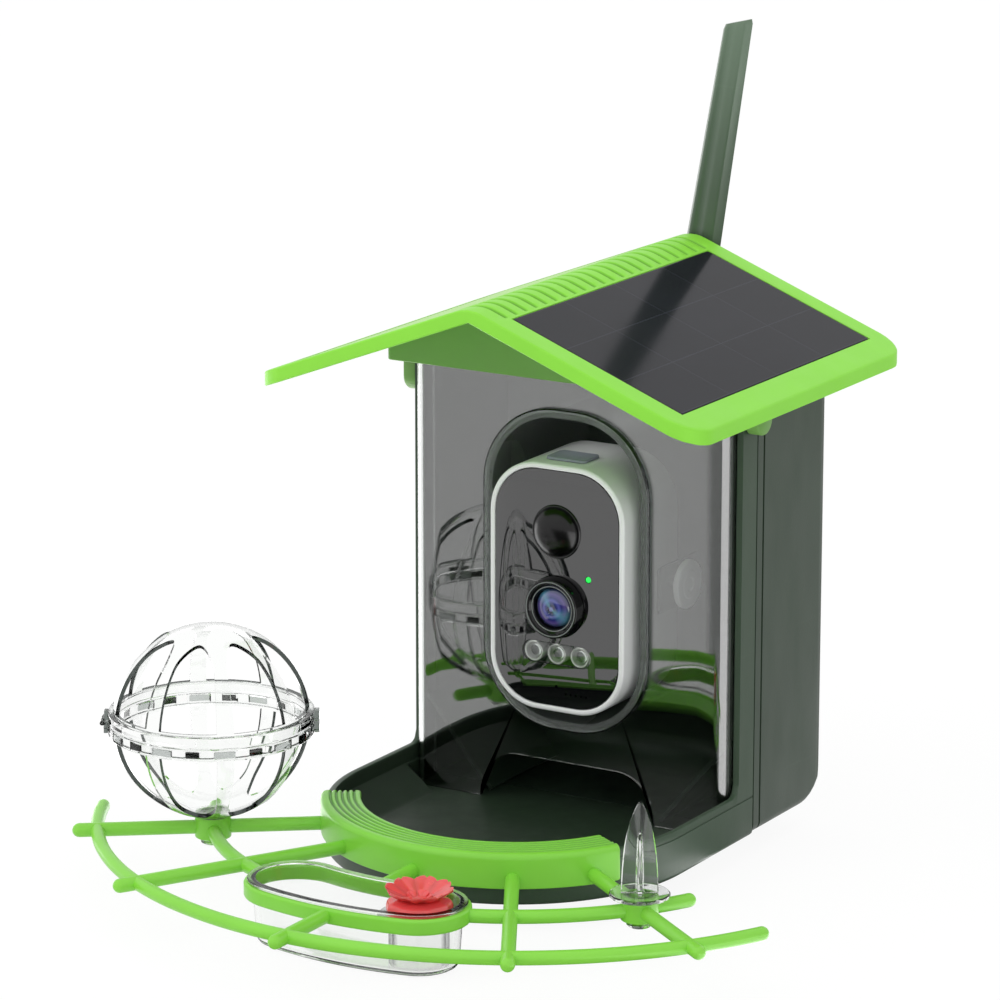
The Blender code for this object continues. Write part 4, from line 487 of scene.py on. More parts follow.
way = np.array(RAMP_FOOT) - RAMP_TOP
top_line = np.linspace(RAMP_TOP, RAMP_FOOT, 9)
under = top_line + np.array((way[1], -way[0])) / np.hypot(*way) * RAMP_SHEET
under = np.stack((np.minimum(under[:, 0], RAMP_TOP[0]), np.maximum(under[:, 1], RAMP_FOOT[1])), -1)
section = np.concatenate((top_line, under[::-1]))
count = len(section)
sheet_ends = np.concatenate((rungs(count), rungs(count, 3 * count)[:, ::-1]))
for side, word in ((-1, "left"), (1, "right")):
    points = np.concatenate([on_plane(section * (side, 1), depth, "XZ") for depth in
                             (RAMP_FRONT, RAMP_FRONT + RAMP_LIP, RAMP_BACK - RAMP_LIP, RAMP_BACK)])
    # Every point of the sheet carries the inside's share of painted shade.
    new_piece("seed_ramp_sheet_" + word, [(points, linked(4, count, wrap_columns=True), sheet_ends)],
              dark_plastic, "house", ["seed_ramp_" + word],
              painted_shade_amount=np.full(4 * count, INSIDE_SHADE))


# Hopper window: one clear sheet bent round both front corners. It is cut out for the camera's tube and, at
# its foot, for the arch that lets the seed run into the tray.
GLAZE_FRONT, GLAZE_BACK = -0.0453, -0.0285
GLAZE_SHEET, GLAZE_CORNER, GLAZE_HALF = 0.002, 0.006, 0.0802
GLAZE_FOOT, GLAZE_TOP = 0.0033, 0.212
ARCH_FOOT, ARCH_CROWN, ARCH_TOP = 0.045, 0.026, 0.0255
PORT_WIDE, PORT_TALL, PORT_ROUND, PORT_MID = 0.0846, 0.147, 0.037, 0.1142
PORT_LIP = 0.002


def clear_plastic(name, tint, ior, roughness=0.0, flow=0.03, flow_scale=40, stretch=(1, 1, 1), edge=None,
                  start=0.75, rim=None, clearness=1.0):
    """Clear moulded plastic that refracts. Slow waves in its surface come from the way it flowed in the
    mould, and the faint haze in its roughness from handling. Where it is seen edge on, the edge tint is a
    painted shade that draws its dark outline, and the cut edges that carry a rim mark take the rim's tint,
    another painted shade."""
    finish, tree, shader = new_finish(name, {"Transmission Weight": clearness, "IOR": ior})
    colour = tinted(tree, tint, textured(tree, 30, 2), 0.985, 1.0)
    # Painted shade: the colour darkens to the edge tint where the surface is seen edge on.
    if edge:
        facing = add(tree, "LayerWeight").outputs["Facing"]
        colour = mixed(tree, spread_over(tree, facing, start, 1), colour, edge)
    # Painted shade on the cut edges that carry a rim mark.
    if rim:
        colour = mixed(tree, add(tree, "Attribute", attribute_name="rim").outputs["Fac"], colour, rim)
    set_sockets(tree, shader, {
        "Base Color": colour,
        "Roughness": ranged(tree, textured(tree, 90, 4), roughness, roughness + 0.012),
        "Normal": relief(tree, textured(tree, flow_scale, 1, stretch), flow, 0.001)})
    return finish


def arc(middle, radii, start, end, count):
    """Points on a circle or an ellipse about a middle, from a start angle to an end angle in degrees."""
    turns = np.radians(np.linspace(start, end, count))
    return middle + np.multiply(radii, np.stack((np.cos(turns), np.sin(turns)), -1))


def rounded_box(width, height, radius, steps=8):
    """A rectangle with round corners about the middle, anticlockwise from the foot of its right side."""
    x, y = width / 2, height / 2
    return rounded_path([(x, -y), (x, y), (-x, y), (-x, -y)], radius, steps, closed=True)


half_face = GLAZE_HALF - GLAZE_CORNER
right_arch = arc((ARCH_CROWN, GLAZE_FOOT), (ARCH_FOOT - ARCH_CROWN, ARCH_TOP - GLAZE_FOOT), 0, 90, 9)
right_side = np.linspace((half_face, GLAZE_FOOT), (half_face, GLAZE_TOP), 25)
top_side = np.linspace((half_face, GLAZE_TOP), (-half_face, GLAZE_TOP), 21)[1:-1]
right_foot = np.linspace((ARCH_FOOT, GLAZE_FOOT), (half_face, GLAZE_FOOT), 5)[1:-1]
crown = np.linspace((ARCH_CROWN, ARCH_TOP), (-ARCH_CROWN, ARCH_TOP), 9)[1:-1]
mirror = np.array((-1, 1))
border = np.concatenate((right_side, top_side, (right_side * mirror)[::-1], (right_foot * mirror)[::-1],
                         right_arch * mirror, crown[::-1], right_arch[::-1], right_foot))
turn = np.unwrap(np.arctan2(border[:, 1] - PORT_MID, border[:, 0]))
turn = np.maximum.accumulate(turn + np.arange(len(turn)) * 1e-4)
turn = turn[0] + (turn - turn[0]) * min(1.0, (2 * np.pi - 0.01) / (turn[-1] - turn[0]))
port = rounded_box(PORT_WIDE - 2 * PORT_LIP, PORT_TALL - 2 * PORT_LIP, PORT_ROUND - PORT_LIP, 24)
port_turn = np.unwrap(np.arctan2(port[:, 1], port[:, 0]))
port_turn = np.concatenate((port_turn - 2 * np.pi, port_turn, port_turn + 2 * np.pi))
hole = np.stack([np.interp(turn, port_turn, np.tile(port[:, axis], 3)) for axis in (0, 1)], -1)
hole += (0, PORT_MID)
spread = np.array((0, 0.12, 0.4, 0.75, 1.0))[:, None, None]
face_grid = hole[None] * (1 - spread) + border[None] * spread
side_count, top_count = len(right_side), len(top_side)
bent = GLAZE_CORNER * np.linspace(0, np.pi / 2, 9)[1:]
past = np.concatenate((bent, bent[-1] + np.linspace(0, GLAZE_BACK - GLAZE_FRONT - GLAZE_CORNER, 4)[1:]))


def round_corner(along, height, inset):
    """The sheet's flat pattern, bent: straight across the face, an arc at each corner, straight back."""
    radius = GLAZE_CORNER - inset
    over = np.maximum(np.abs(along) - half_face, 0)
    angle = np.minimum(over / GLAZE_CORNER, np.pi / 2)
    x = np.sign(along) * (np.minimum(np.abs(along), half_face) + radius * np.sin(angle))
    y = GLAZE_FRONT + GLAZE_CORNER - radius * np.cos(angle) + np.maximum(over - GLAZE_CORNER * np.pi / 2, 0)
    return np.stack((x, y, height), -1)


rows, columns = face_grid.shape[:2]
faces, flat, start = [linked(rows, columns, wrap_columns=True)], [face_grid.reshape(-1, 2)], rows * columns
first_edge = (rows - 1) * columns + np.arange(side_count)
for side, edge in ((1, first_edge), (-1, first_edge[::-1] + side_count + top_count)):
    sheet = np.stack(np.broadcast_arrays((side * (half_face + past))[:, None], right_side[None, :, 1]), -1)
    flat.append(sheet.reshape(-1, 2))
    table = np.concatenate((edge[None], start + np.arange(len(past) * side_count).reshape(-1, side_count)))
    quads = np.stack((table[:-1, :-1], table[1:, :-1], table[1:, 1:], table[:-1, 1:]), -1).reshape(-1, 4)
    faces.append(quads[:, ::-side])
    start += len(past) * side_count
flat, faces = np.concatenate(flat), np.concatenate(faces)
window_clear = clear_plastic("clear_window_sheet", srgb(240, 243, 241), 2.05, flow=0.012, flow_scale=14,
                             stretch=(2.5, 1, 0.12))
new_piece("window_sheet", [thickened(round_corner(flat[:, 0], flat[:, 1], 0),
                                     round_corner(flat[:, 0], flat[:, 1], GLAZE_SHEET), faces)],
          window_clear, "house", ["hopper_window"])


# Camera tube: a clear tube from the window's round-ended port back to the wall, with a lip that laps the
# front of the sheet and a thicker rib on each side for the camera's thumb screws. The lip's outer edge
# looks dark, so it is its own piece of the same moulding, with a darker tint that is a painted shade.
TUBE_SHEET, TUBE_INSET, TUBE_MIDWAY, TUBE_BACK = 0.002, 0.0023, -0.02, 0.0387
LIP_FRONT, LIP_BACK, LIP_EDGE, LIP_GAP = -0.0473, -0.0456, 0.0008, 0.00002
RIB_LONG, RIB_HIGH, RIB_THICK, RIB_CORNER = 0.038, 0.021, 0.0012, 0.002
TILT_Y, TILT_Z = -0.0153, 0.1081


def swept(loops, ends="fan", start_point=None, end_point=None):
    """Skins closed loops in turn. The ends are fans of triangles to a middle point, or the last loop joins
    the first as a ring."""
    rows, columns = loops.shape[:2]
    points = loops.reshape(-1, 3)
    if ends == "ring":
        return points, linked(rows, columns, True, True)
    middle = [loops[0].mean(0) if start_point is None else start_point,
              loops[-1].mean(0) if end_point is None else end_point]
    i = np.arange(columns)
    j = (i + 1) % columns
    last = (rows - 1) * columns
    fan = np.stack((np.full(columns, rows * columns), j, i), -1)
    far_fan = np.stack((np.full(columns, rows * columns + 1), last + i, last + j), -1)
    return (np.concatenate((points, middle)), linked(rows, columns, wrap_columns=True),
            np.concatenate((fan, far_fan)))


def box_loops(width, height, radius, stations, plane, middle, steps):
    """A round-cornered rectangle carried through stations, each an inset from its outline and a depth."""
    return np.array([on_plane(rounded_box(width - 2 * inset, height - 2 * inset, radius - inset, steps)
                              + middle, depth, plane) for inset, depth in stations])


def port_ring(stations):
    """A ring that follows the window's port through stations."""
    return swept(box_loops(PORT_WIDE, PORT_TALL, PORT_ROUND, stations, "XZ", (0, PORT_MID), 24), "ring")


tube_clear = clear_plastic("clear_tube", srgb(226, 230, 228), 1.15, flow=0.015, flow_scale=22,
                           stretch=(1, 0.3, 1), clearness=0.92)
# The lip's darker tint is a painted shade.
lip_clear = clear_plastic("clear_tube_lip_painted_shade", srgb(112, 116, 114), 1.25, flow=0.02)
bore_in = TUBE_INSET + TUBE_SHEET
near = PORT_WIDE / 2 - TUBE_INSET + LIP_GAP
rib = ((0, near), (0, near + RIB_THICK - 0.0005), (0.0004, near + RIB_THICK))
tube = [port_ring([(inset, depth) for inset, depths in ((TUBE_INSET, (LIP_BACK, TUBE_MIDWAY, TUBE_BACK)),
                                                        (bore_in, (TUBE_BACK, TUBE_MIDWAY, LIP_BACK)))
                   for depth in depths])]
tube += [swept(box_loops(RIB_LONG, RIB_HIGH, RIB_CORNER, rib, "YZ", (TILT_Y, TILT_Z), 5) * (side, 1, 1))
         for side in (-1, 1)]
lip_seat = LIP_BACK - LIP_GAP
tube.append(port_ring([(LIP_EDGE + 2 * LIP_GAP, lip_seat), (LIP_EDGE + 2 * LIP_GAP, LIP_FRONT + 0.0001),
                       (bore_in - 0.0008, LIP_FRONT + 0.0001), (bore_in, LIP_FRONT + 0.0008),
                       (bore_in, lip_seat)]))
new_piece("camera_tube", tube, tube_clear, "house", ["camera_tunnel"])
lip = port_ring([(0, lip_seat), (0, LIP_FRONT + 0.0006), (0.0006, LIP_FRONT), (LIP_EDGE, LIP_FRONT),
                 (LIP_EDGE, lip_seat)])
new_piece("camera_tube_lip", [lip], lip_clear, "house")


# Roof: one bright green moulding, gabled, with a rounded ridge that fine grooves cross, a turned-down rim
# and a shallow recess in each slope for its solar panel. It lifts off to fill the hopper.
ROOF_HALF = 0.110
ROOF_FRONT, ROOF_BACK = -0.1293, 0.068
ROOF_MID = (ROOF_FRONT + ROOF_BACK) / 2
EAVES, RISE, RIDGE_ROUND = 0.206458, 0.0421, 0.018
ROOF_ANGLE = np.arctan(RISE / ROOF_HALF)
ROOF_EDGE, ROOF_SKIN, ROOF_RIM = 0.00675, 0.0042, 0.0035
ROOF_CORNER, EDGE_ROUND, FOOT_ROUND = 0.015, 0.0009, 0.0005
GROOVES, GROOVE_START, GROOVE_PITCH = 22, -0.1183, 0.0083476
RIDGE_GROOVE_WIDE, RIDGE_GROOVE_DEEP = 0.0032, 0.0018
RIDGE_GROOVE_HALF, RIDGE_GROOVE_FADE = 0.0125, 0.0012
PANEL_NEAR, PANEL_FAR, PANEL_END, PANEL_RECESS = 0.0143, 0.0968, 0.0122, 0.0022
STEP, SAME_LINE = 0.00012, 2e-5
# The second green is a painted shade for the ridge grooves.
BRIGHT_GREEN, GROOVE_PAINTED_SHADE = srgb(140, 222, 64), srgb(44, 100, 18)


def slope(x):
    """The height of the two straight slopes over x."""
    return EAVES + RISE * (1 - np.abs(x) / ROOF_HALF)


def rounded_slope(x):
    """The height of the roof's top over x: the slopes, with an arc over the ridge that touches both."""
    centre = EAVES + RISE - RIDGE_ROUND / np.cos(ROOF_ANGLE)
    touch = RIDGE_ROUND * np.sin(ROOF_ANGLE)
    arched = centre + np.sqrt(np.maximum(RIDGE_ROUND ** 2 - np.minimum(np.abs(x), touch) ** 2, 0))
    return np.where(np.abs(x) < touch, arched, slope(x))


def rim_lines(half):
    """The rim's mesh lines up to a half length: its step, and finer lines where the edge is rounded."""
    rounding = EDGE_ROUND * (1 - np.sin(np.linspace(0, np.pi / 2, 7)))[::-1]
    return np.concatenate((half - ROOF_RIM + np.array((-0.0012, 0, STEP)), np.sort(half - rounding)))


half_lines = np.concatenate(((0, 0.0016, 0.0032, 0.0048, 0.0064, 0.0092, 0.0112, RIDGE_GROOVE_HALF,
                              RIDGE_GROOVE_HALF + 0.0005, PANEL_NEAR - STEP, PANEL_NEAR, 0.035, 0.06, 0.08,
                              PANEL_FAR, PANEL_FAR + STEP, 0.1008), rim_lines(ROOF_HALF)))
x_lines = np.concatenate((-half_lines[:0:-1], half_lines))
half_length = (ROOF_BACK - ROOF_FRONT) / 2
end_lines = np.concatenate((half_length - PANEL_END + np.array((0, STEP)), rim_lines(half_length)))
groove_middles = GROOVE_START + GROOVE_PITCH * np.arange(GROOVES) - ROOF_MID
groove_lines = (groove_middles[:, None] + RIDGE_GROOVE_WIDE * np.linspace(-0.5, 0.5, 7)[None]).ravel()
between = groove_middles[:-1] + GROOVE_PITCH / 2
y_lines = np.sort(np.concatenate((-end_lines, groove_lines, between, end_lines)))
y_lines = y_lines[np.concatenate(([True], np.diff(y_lines) > SAME_LINE))]
flat = np.stack(np.meshgrid(x_lines, y_lines, indexing="ij"), -1)
straight_part = np.array((ROOF_HALF, half_length)) - ROOF_CORNER
corner = np.maximum(np.abs(flat) - straight_part, 0) / ROOF_CORNER
size = (np.minimum(np.abs(flat), straight_part)
        + ROOF_CORNER * corner * np.sqrt(1 - corner[..., ::-1] ** 2 / 2))
past = size - straight_part
inset = np.maximum(ROOF_CORNER - np.where(past.min(-1) > 0, np.hypot(past[..., 0], past[..., 1]),
                                          past.max(-1)), 0)
recessed = ((size[..., 0] >= PANEL_NEAR - STEP / 2) & (size[..., 0] <= PANEL_FAR + STEP / 2)
            & (size[..., 1] <= half_length - PANEL_END + STEP / 2))
plan = np.sign(flat) * size
nearest = np.abs(plan[..., 1:] - groove_middles).min(-1)
trough = 0.5 + 0.5 * np.cos(np.pi * np.minimum(nearest / (RIDGE_GROOVE_WIDE / 2), 1))
trough = trough * np.clip((RIDGE_GROOVE_HALF + 0.0005 - size[..., 0]) / RIDGE_GROOVE_FADE, 0, 1)
top = (rounded_slope(size[..., 0]) - fall(EDGE_ROUND, inset) - PANEL_RECESS / np.cos(ROOF_ANGLE) * recessed
       - RIDGE_GROOVE_DEEP * trough)
in_rim = inset < ROOF_RIM - STEP / 2
under = slope(size[..., 0]) - np.where(in_rim, ROOF_EDGE - np.maximum(FOOT_ROUND - inset, 0), ROOF_SKIN)
sides = [on_plane(plan + (0, ROOF_MID), height, "XY").reshape(-1, 3) for height in (top, under)]
roof_plastic = moulded("bright_green_plastic", BRIGHT_GREEN, 0.46, cloud=0.03, grain_depth=0.06, level=0.35,
                       painted_shade_colour=GROOVE_PAINTED_SHADE)
# The ridge grooves carry painted shade by their depth; the underside carries none.
new_piece("roof_cap", [thickened(*sides, linked(len(x_lines), len(y_lines)))], roof_plastic, "roof",
          ["roof_shell"], crease=38, painted_shade_amount=(trough, 0 * trough))


# Solar panels: a dark glazed slab glued in the recess of each slope. Thin lines between the cells and a
# finer set of contact lines show faintly through the glass.
PANEL_GAP, PANEL_THICK, PANEL_CORNER = 0.0003, 0.0018, 0.0012
CELL_LONG, CELL_WIDE, CELL_LINE = 0.0431, 0.0275, 0.00035
PANEL_DARK, PANEL_LINE, PANEL_PAINTED_SHEEN = srgb(26, 27, 33), srgb(44, 46, 54), srgb(190, 226, 160)


def panel_glass(name):
    """Dark cells under anti-glare glass: brick lines at the cells' size and finer contact lines across
    them, all faint. The glass turns dull where it is seen edge on, and at the flattest glance its colour
    turns to a painted sheen, pale with the roof's light."""
    finish, tree, shader = new_finish(name, {"IOR": 1.175})
    place = add(tree, "TexCoord").outputs["Object"]
    from_first = add(tree, "Mapping", {"Vector": place, "Location": (0.0143, 0.1171, 0)}).outputs["Vector"]
    cells = add(tree, "TexBrick", {
        "Vector": from_first, "Scale": 1.0, "Brick Width": CELL_WIDE, "Row Height": CELL_LONG,
        "Mortar Size": CELL_LINE, "Mortar Smooth": 0.6, "Mortar": PANEL_LINE, "Color1": PANEL_DARK,
        "Color2": tuple(c * 1.10 for c in PANEL_DARK[:3]) + (1,)}, offset=0.0).outputs["Color"]
    facing = add(tree, "LayerWeight").outputs["Facing"]
    dark = tinted(tree, cells, textured(tree, 24, 3), 0.85, 1.15)
    dull = spread_over(tree, facing, 0.80, 0.93, 0, 0.8)
    contacts = add(tree, "TexWave", {"Vector": place, "Scale": 260, "Detail": 0, "Distortion": 0},
                   bands_direction="Y").outputs["Fac"]
    set_sockets(tree, shader, {
        # Painted sheen: the colour turns pale green at the flattest glance.
        "Base Color": mixed(tree, spread_over(tree, facing, 0.93, 0.97), dark, PANEL_PAINTED_SHEEN),
        "Roughness": maths(tree, "ADD", ranged(tree, textured(tree, 14, 5), 0.09, 0.15), dull),
        "Normal": relief(tree, contacts, 0.03, 0.0003)})
    return finish


def tilted(points, angle):
    """Turns points about the line from front to back, so that their top leans to the right."""
    x, y, z = np.moveaxis(points, -1, 0)
    return np.stack((x * np.cos(angle) + z * np.sin(angle), y, z * np.cos(angle) - x * np.sin(angle)), -1)


panel_finish = panel_glass("solar_panel_glass")
panel_length = (PANEL_FAR - PANEL_NEAR) / np.cos(ROOF_ANGLE) - 2 * PANEL_GAP
panel_width = ROOF_BACK - ROOF_FRONT - 2 * (PANEL_END + PANEL_GAP)
panel_middle = (PANEL_NEAR + PANEL_FAR) / 2
panel_sunk = PANEL_RECESS - PANEL_THICK - PANEL_GAP
stations = ((0, -PANEL_THICK), (0, -0.0003), (0.00009, -0.00009), (0.0003, 0), (0.0008, 0))
loops = np.array([on_plane(rounded_box(panel_length - 2 * inset, panel_width - 2 * inset, PANEL_CORNER, 5),
                           depth - panel_sunk, "XY") for inset, depth in stations])
loops = tilted(loops, ROOF_ANGLE) + (panel_middle, ROOF_MID, slope(panel_middle))
for side, word in ((-1, "left"), (1, "right")):
    new_piece("solar_glass_" + word, [swept(loops * (side, 1, 1))], panel_finish, "roof",
              ["solar_panel_" + word], crease=25)


# Roof skirt: the gabled box under the roof that drops over the top of the house, in the roof's green made
# duller by a painted shade for its place under the eaves, with a rounded ear on each side for the fingers.
SKIRT_HALF, SKIRT_FRONT, SKIRT_BACK, SKIRT_FOOT = 0.090, -0.0513, 0.0455, 0.2011
SKIRT_WALL, SKIRT_CORNER, SKIRT_EDGE = 0.003, 0.0022, 0.0003
EAR_Y, EAR_Z, EAR_ROUND, EAR_NEAR, EAR_FAR, EAR_ABOVE = -0.0303, 0.191, 0.007, 0.0839, 0.0904, 0.002


def skirt_loop(inset, height=None):
    """The skirt's plan drawn in by an inset, level at a height or else following the roof's underside."""
    x, front, back = SKIRT_HALF - inset, SKIRT_FRONT + inset, SKIRT_BACK - inset
    corners = [(0, front), (x / 2, front), (x, front), (x, back), (x / 2, back), (0, back), (-x / 2, back),
               (-x, back), (-x, front), (-x / 2, front)]
    turn = max(SKIRT_CORNER - inset, 0.0005)
    plan = rounded_path(corners, (0, 0, turn, turn, 0, 0, 0, turn, turn, 0), 5, closed=True)
    return on_plane(plan, slope(plan[:, 0]) - ROOF_SKIN - PANEL_GAP if height is None else height, "XY")


skirt = swept(np.array([skirt_loop(*row) for row in (
    (SKIRT_EDGE, SKIRT_FOOT), (0, SKIRT_FOOT + SKIRT_EDGE), (0,), (SKIRT_WALL,),
    (SKIRT_WALL, SKIRT_FOOT + SKIRT_EDGE), (SKIRT_WALL - SKIRT_EDGE, SKIRT_FOOT))]), "ring")
ear = []
for inset, across in ((0, EAR_NEAR), (0, EAR_FAR - 0.0012), (0.0004, EAR_FAR - 0.0004), (0.0012, EAR_FAR)):
    reach = EAR_ROUND - inset
    bow = arc((EAR_Y, EAR_Z), reach, -180, 0, 17)
    head = [(EAR_Y + reach, SKIRT_FOOT + EAR_ABOVE), (EAR_Y - reach, SKIRT_FOOT + EAR_ABOVE)]
    ear.append(on_plane(np.concatenate((bow, head)), across, "YZ"))
ears = [swept(np.array(ear) * (side, 1, 1)) for side in (-1, 1)]
# The duller green is a painted shade, for the shade under the roof.
skirt_shaded_plastic = moulded("gable_green_painted_shade", srgb(112, 162, 74), 0.5, cloud=0.03, grain_depth=0.06)
new_piece("gable_skirt", [skirt, *ears], skirt_shaded_plastic, "roof", ["roof_skirt"])


# Antenna: a dark green plastic blade of six flat sides that folds on a fork, whose base swivels in a socket
# on the back wall. A shallow hollow runs down each broad side, and a painted light makes the blade paler
# towards its tip.
ROD_AT = (-0.0067, 0.0747, 0.1915)
LEAN = np.radians(9.4)
BLADE_FOOT, BLADE_LONG, BLADE_TIP_DROP = 0.0065, 0.152, 0.006
BLADE_WIDE, BLADE_DEEP = (0.0195, 0.0140), (0.0090, 0.0060)
BLADE_BEVEL, BLADE_EDGE = 0.32, 0.0007
PALER_FROM, PALER_TO, PALER_BY = 0.23, 0.345, 2.1
TONGUE_HALF, TONGUE_ROUND = 0.0026, 0.0050
SOCKET_FRONT, SOCKET_LONG = 0.0423, 0.0120
BASE_FRONT, BASE_BACK, BASE_ROUND = 0.0547, 0.0693, 0.0058
FORK_HALF, FORK_IN, FORK_GAP = 0.0055, 0.0030, 0.0004


def leaning(points):
    """Leans points to the right as the blade does and sets them at the antenna's foot."""
    return tilted(points, LEAN) + ROD_AT


def turned_shell(profile, steps, origin=(0, 0, 0), axis=(0, 0, 1), ends="fan"):
    """Spins a profile of (radius, height) round an axis. A first or last radius of nought becomes the pole
    that its fan of triangles meets in, and a ring closes on itself."""
    profile = np.asarray(profile, float)
    axis = np.asarray(axis, float)
    side = np.cross((0, 1, 0) if abs(axis[1]) < 0.9 else (1, 0, 0), axis)
    up = np.cross(axis, side)
    turns = np.linspace(0, 2 * np.pi, steps, endpoint=False)
    poles = [None, None]
    if ends == "fan":
        for k, end in ((0, 0), (1, -1)):
            poles[k] = np.asarray(origin) + axis * profile[end, 1]
        profile = profile[(1 if profile[0, 0] < 1e-9 else 0):(-1 if profile[-1, 0] < 1e-9 else None)]
    circle = side * np.cos(turns)[:, None] + up * np.sin(turns)[:, None]
    loops = np.asarray(origin) + axis * profile[:, 1, None, None] + circle[None] * profile[:, 0, None, None]
    return swept(loops, ends, *poles)


antenna_plastic = moulded("dark_green_antenna", srgb(69, 84, 69), 0.34, grain=700, grain_depth=0.05,
                          scuffs=0.06)
tree = antenna_plastic.node_tree
skin = tree.nodes["Principled BSDF"]
# Painted light: the blade's colour is lightened up its height, most at the tip.
height = add(tree, "SeparateXYZ", {0: add(tree, "TexCoord").outputs["Object"]}).outputs["Z"]
paler = spread_over(tree, height, PALER_FROM, PALER_TO, 1, PALER_BY)
tip_painted_light = add(tree, "HueSaturation", {"Color": skin.inputs["Base Color"].links[0].from_socket,
                                       "Value": paler})
set_sockets(tree, skin, {"Base Color": tip_painted_light.outputs[0]})
share = np.array((0, 0.01, 0.35, 0.7, 0.985, 1.0))[:, None]
half, deep = [(foot + (tip - foot) * share) / 2 for foot, tip in (BLADE_WIDE, BLADE_DEEP)]
draw = np.array((BLADE_EDGE, 0, 0, 0, 0, BLADE_EDGE))[:, None]
half_turn = np.array([(-1, 0), (-1 + BLADE_BEVEL, -1), (-0.30, -0.70), (0.10, -1), (1 - BLADE_BEVEL, -1)])
unit = rounded_path(np.concatenate((half_turn, -half_turn)), np.tile((0.05, 0.20, 0.35, 0.35, 0.20), 2),
                    5, closed=True)
x = unit[None, :, 0] * (half - draw)
y = unit[None, :, 1] * (deep - draw)
slant = np.array((0, 0, 0, 0, 1, 1))[:, None] * BLADE_TIP_DROP * (x - half) / (2 * half)
blade = leaning(np.stack((x, y, BLADE_FOOT + BLADE_LONG * share + slant), -1))
tongue = np.concatenate((arc(0, TONGUE_ROUND, 180, 360, 17),
                         [(TONGUE_ROUND, BLADE_FOOT + 0.001), (-TONGUE_ROUND, BLADE_FOOT + 0.001)]))
tongue = leaning(np.array([on_plane(tongue, across, "YZ") for across in (-TONGUE_HALF, TONGUE_HALF)]))
new_piece("antenna_blade_piece", [swept(blade), swept(tongue)], antenna_plastic, "antenna_arm",
          ["antenna_blade"], crease=34)
swivel_axis = (ROD_AT[0], 0, ROD_AT[2]), (0, 1, 0)
swivel = [turned_shell([(0, BASE_FRONT - 0.008), (0.003, BASE_FRONT - 0.008), (0.003, BASE_FRONT),
                        (0.0053, BASE_FRONT), (BASE_ROUND, BASE_FRONT + 0.0005),
                        (BASE_ROUND, BASE_BACK - 0.0005), (0.0053, BASE_BACK), (0, BASE_BACK)], 40,
                       *swivel_axis)]
seat = BASE_BACK - ROD_AT[1] - FORK_GAP
cheek = np.concatenate(([(seat, -TONGUE_ROUND)], arc(0, TONGUE_ROUND, -90, 90, 17), [(seat, TONGUE_ROUND)]))
for side in (-1, 1):
    swivel.append(swept(leaning(np.array([on_plane(cheek * share, side * across, "YZ") for share, across in
                                          ((1, FORK_IN), (1, FORK_HALF - 0.0003), (0.94, FORK_HALF))]))))
new_piece("antenna_swivel_base", swivel, antenna_plastic, "antenna_swivel", ["antenna_base"])
socket = [(0, 0.002), (0.0033, 0.002), (0.0033, SOCKET_LONG), (0.0060, SOCKET_LONG),
          (0.0065, SOCKET_LONG - 0.0005), (0.0065, 0.0022), (0.0086, 0.002), (0.009, 0.0016), (0.009, 0),
          (0.0037, 0), (0.0037, -0.009), (0, -0.009)]
new_piece("antenna_wall_socket", [turned_shell(np.add(socket, (0, SOCKET_FRONT)), 48, *swivel_axis)],
          dark_plastic, "house", ["antenna_socket"])


# Camera body: a white shell, deep and well rounded, whose front rim stands round a black face. It is
# moulded in fine matt plastic and hangs on the two thumb screws.
CAM_WIDE, CAM_TALL, CAM_MID = 0.0684, 0.113, 0.1081
CAM_FRONT, CAM_DEEP = -0.0547, 0.054
CAM_ROUND, CAM_BACK_ROUND, CAM_RIM_ROUND, CAM_WALL = 0.024, 0.008, 0.0013, 0.0026
WARM_WHITE = srgb(240, 240, 242)

white_plastic = moulded("white_plastic", WARM_WHITE, 0.36, cloud=0.015, grain=1200, grain_depth=0.05)
cam_back = CAM_FRONT + CAM_DEEP
stations = rounded_path([(0.012, cam_back - CAM_WALL), (CAM_WALL, cam_back - CAM_WALL), (CAM_WALL, CAM_FRONT),
                         (0, CAM_FRONT), (0, cam_back), (0.010, cam_back)],
                        (0, 0.005, CAM_RIM_ROUND * 0.5, CAM_RIM_ROUND, CAM_BACK_ROUND, 0), 7)
stations = np.concatenate((stations, [(0.0125, cam_back)]))
shell = swept(box_loops(CAM_WIDE, CAM_TALL, CAM_ROUND, stations, "XZ", (0, CAM_MID), 14))
new_piece("camera_white_shell", [shell], white_plastic, "camera", ["camera_shell"])


# Camera face: the CAD plate with its holes, in gloss black plastic that mirrors what stands before it. Near
# its outline the plate is polished to a slight fall, which bends what it mirrors there.
FALL_REACH, FALL_DEPTH, FALL_POWER, RIGHT_SHARE = 0.017, 0.0016, 2.4, 0.5
face_black = moulded("black_gloss_plastic", srgb(14, 14, 16), 0.015, spread=0.01, cloud=0.04, grain=60,
                     grain_depth=0.001, IOR=1.95)


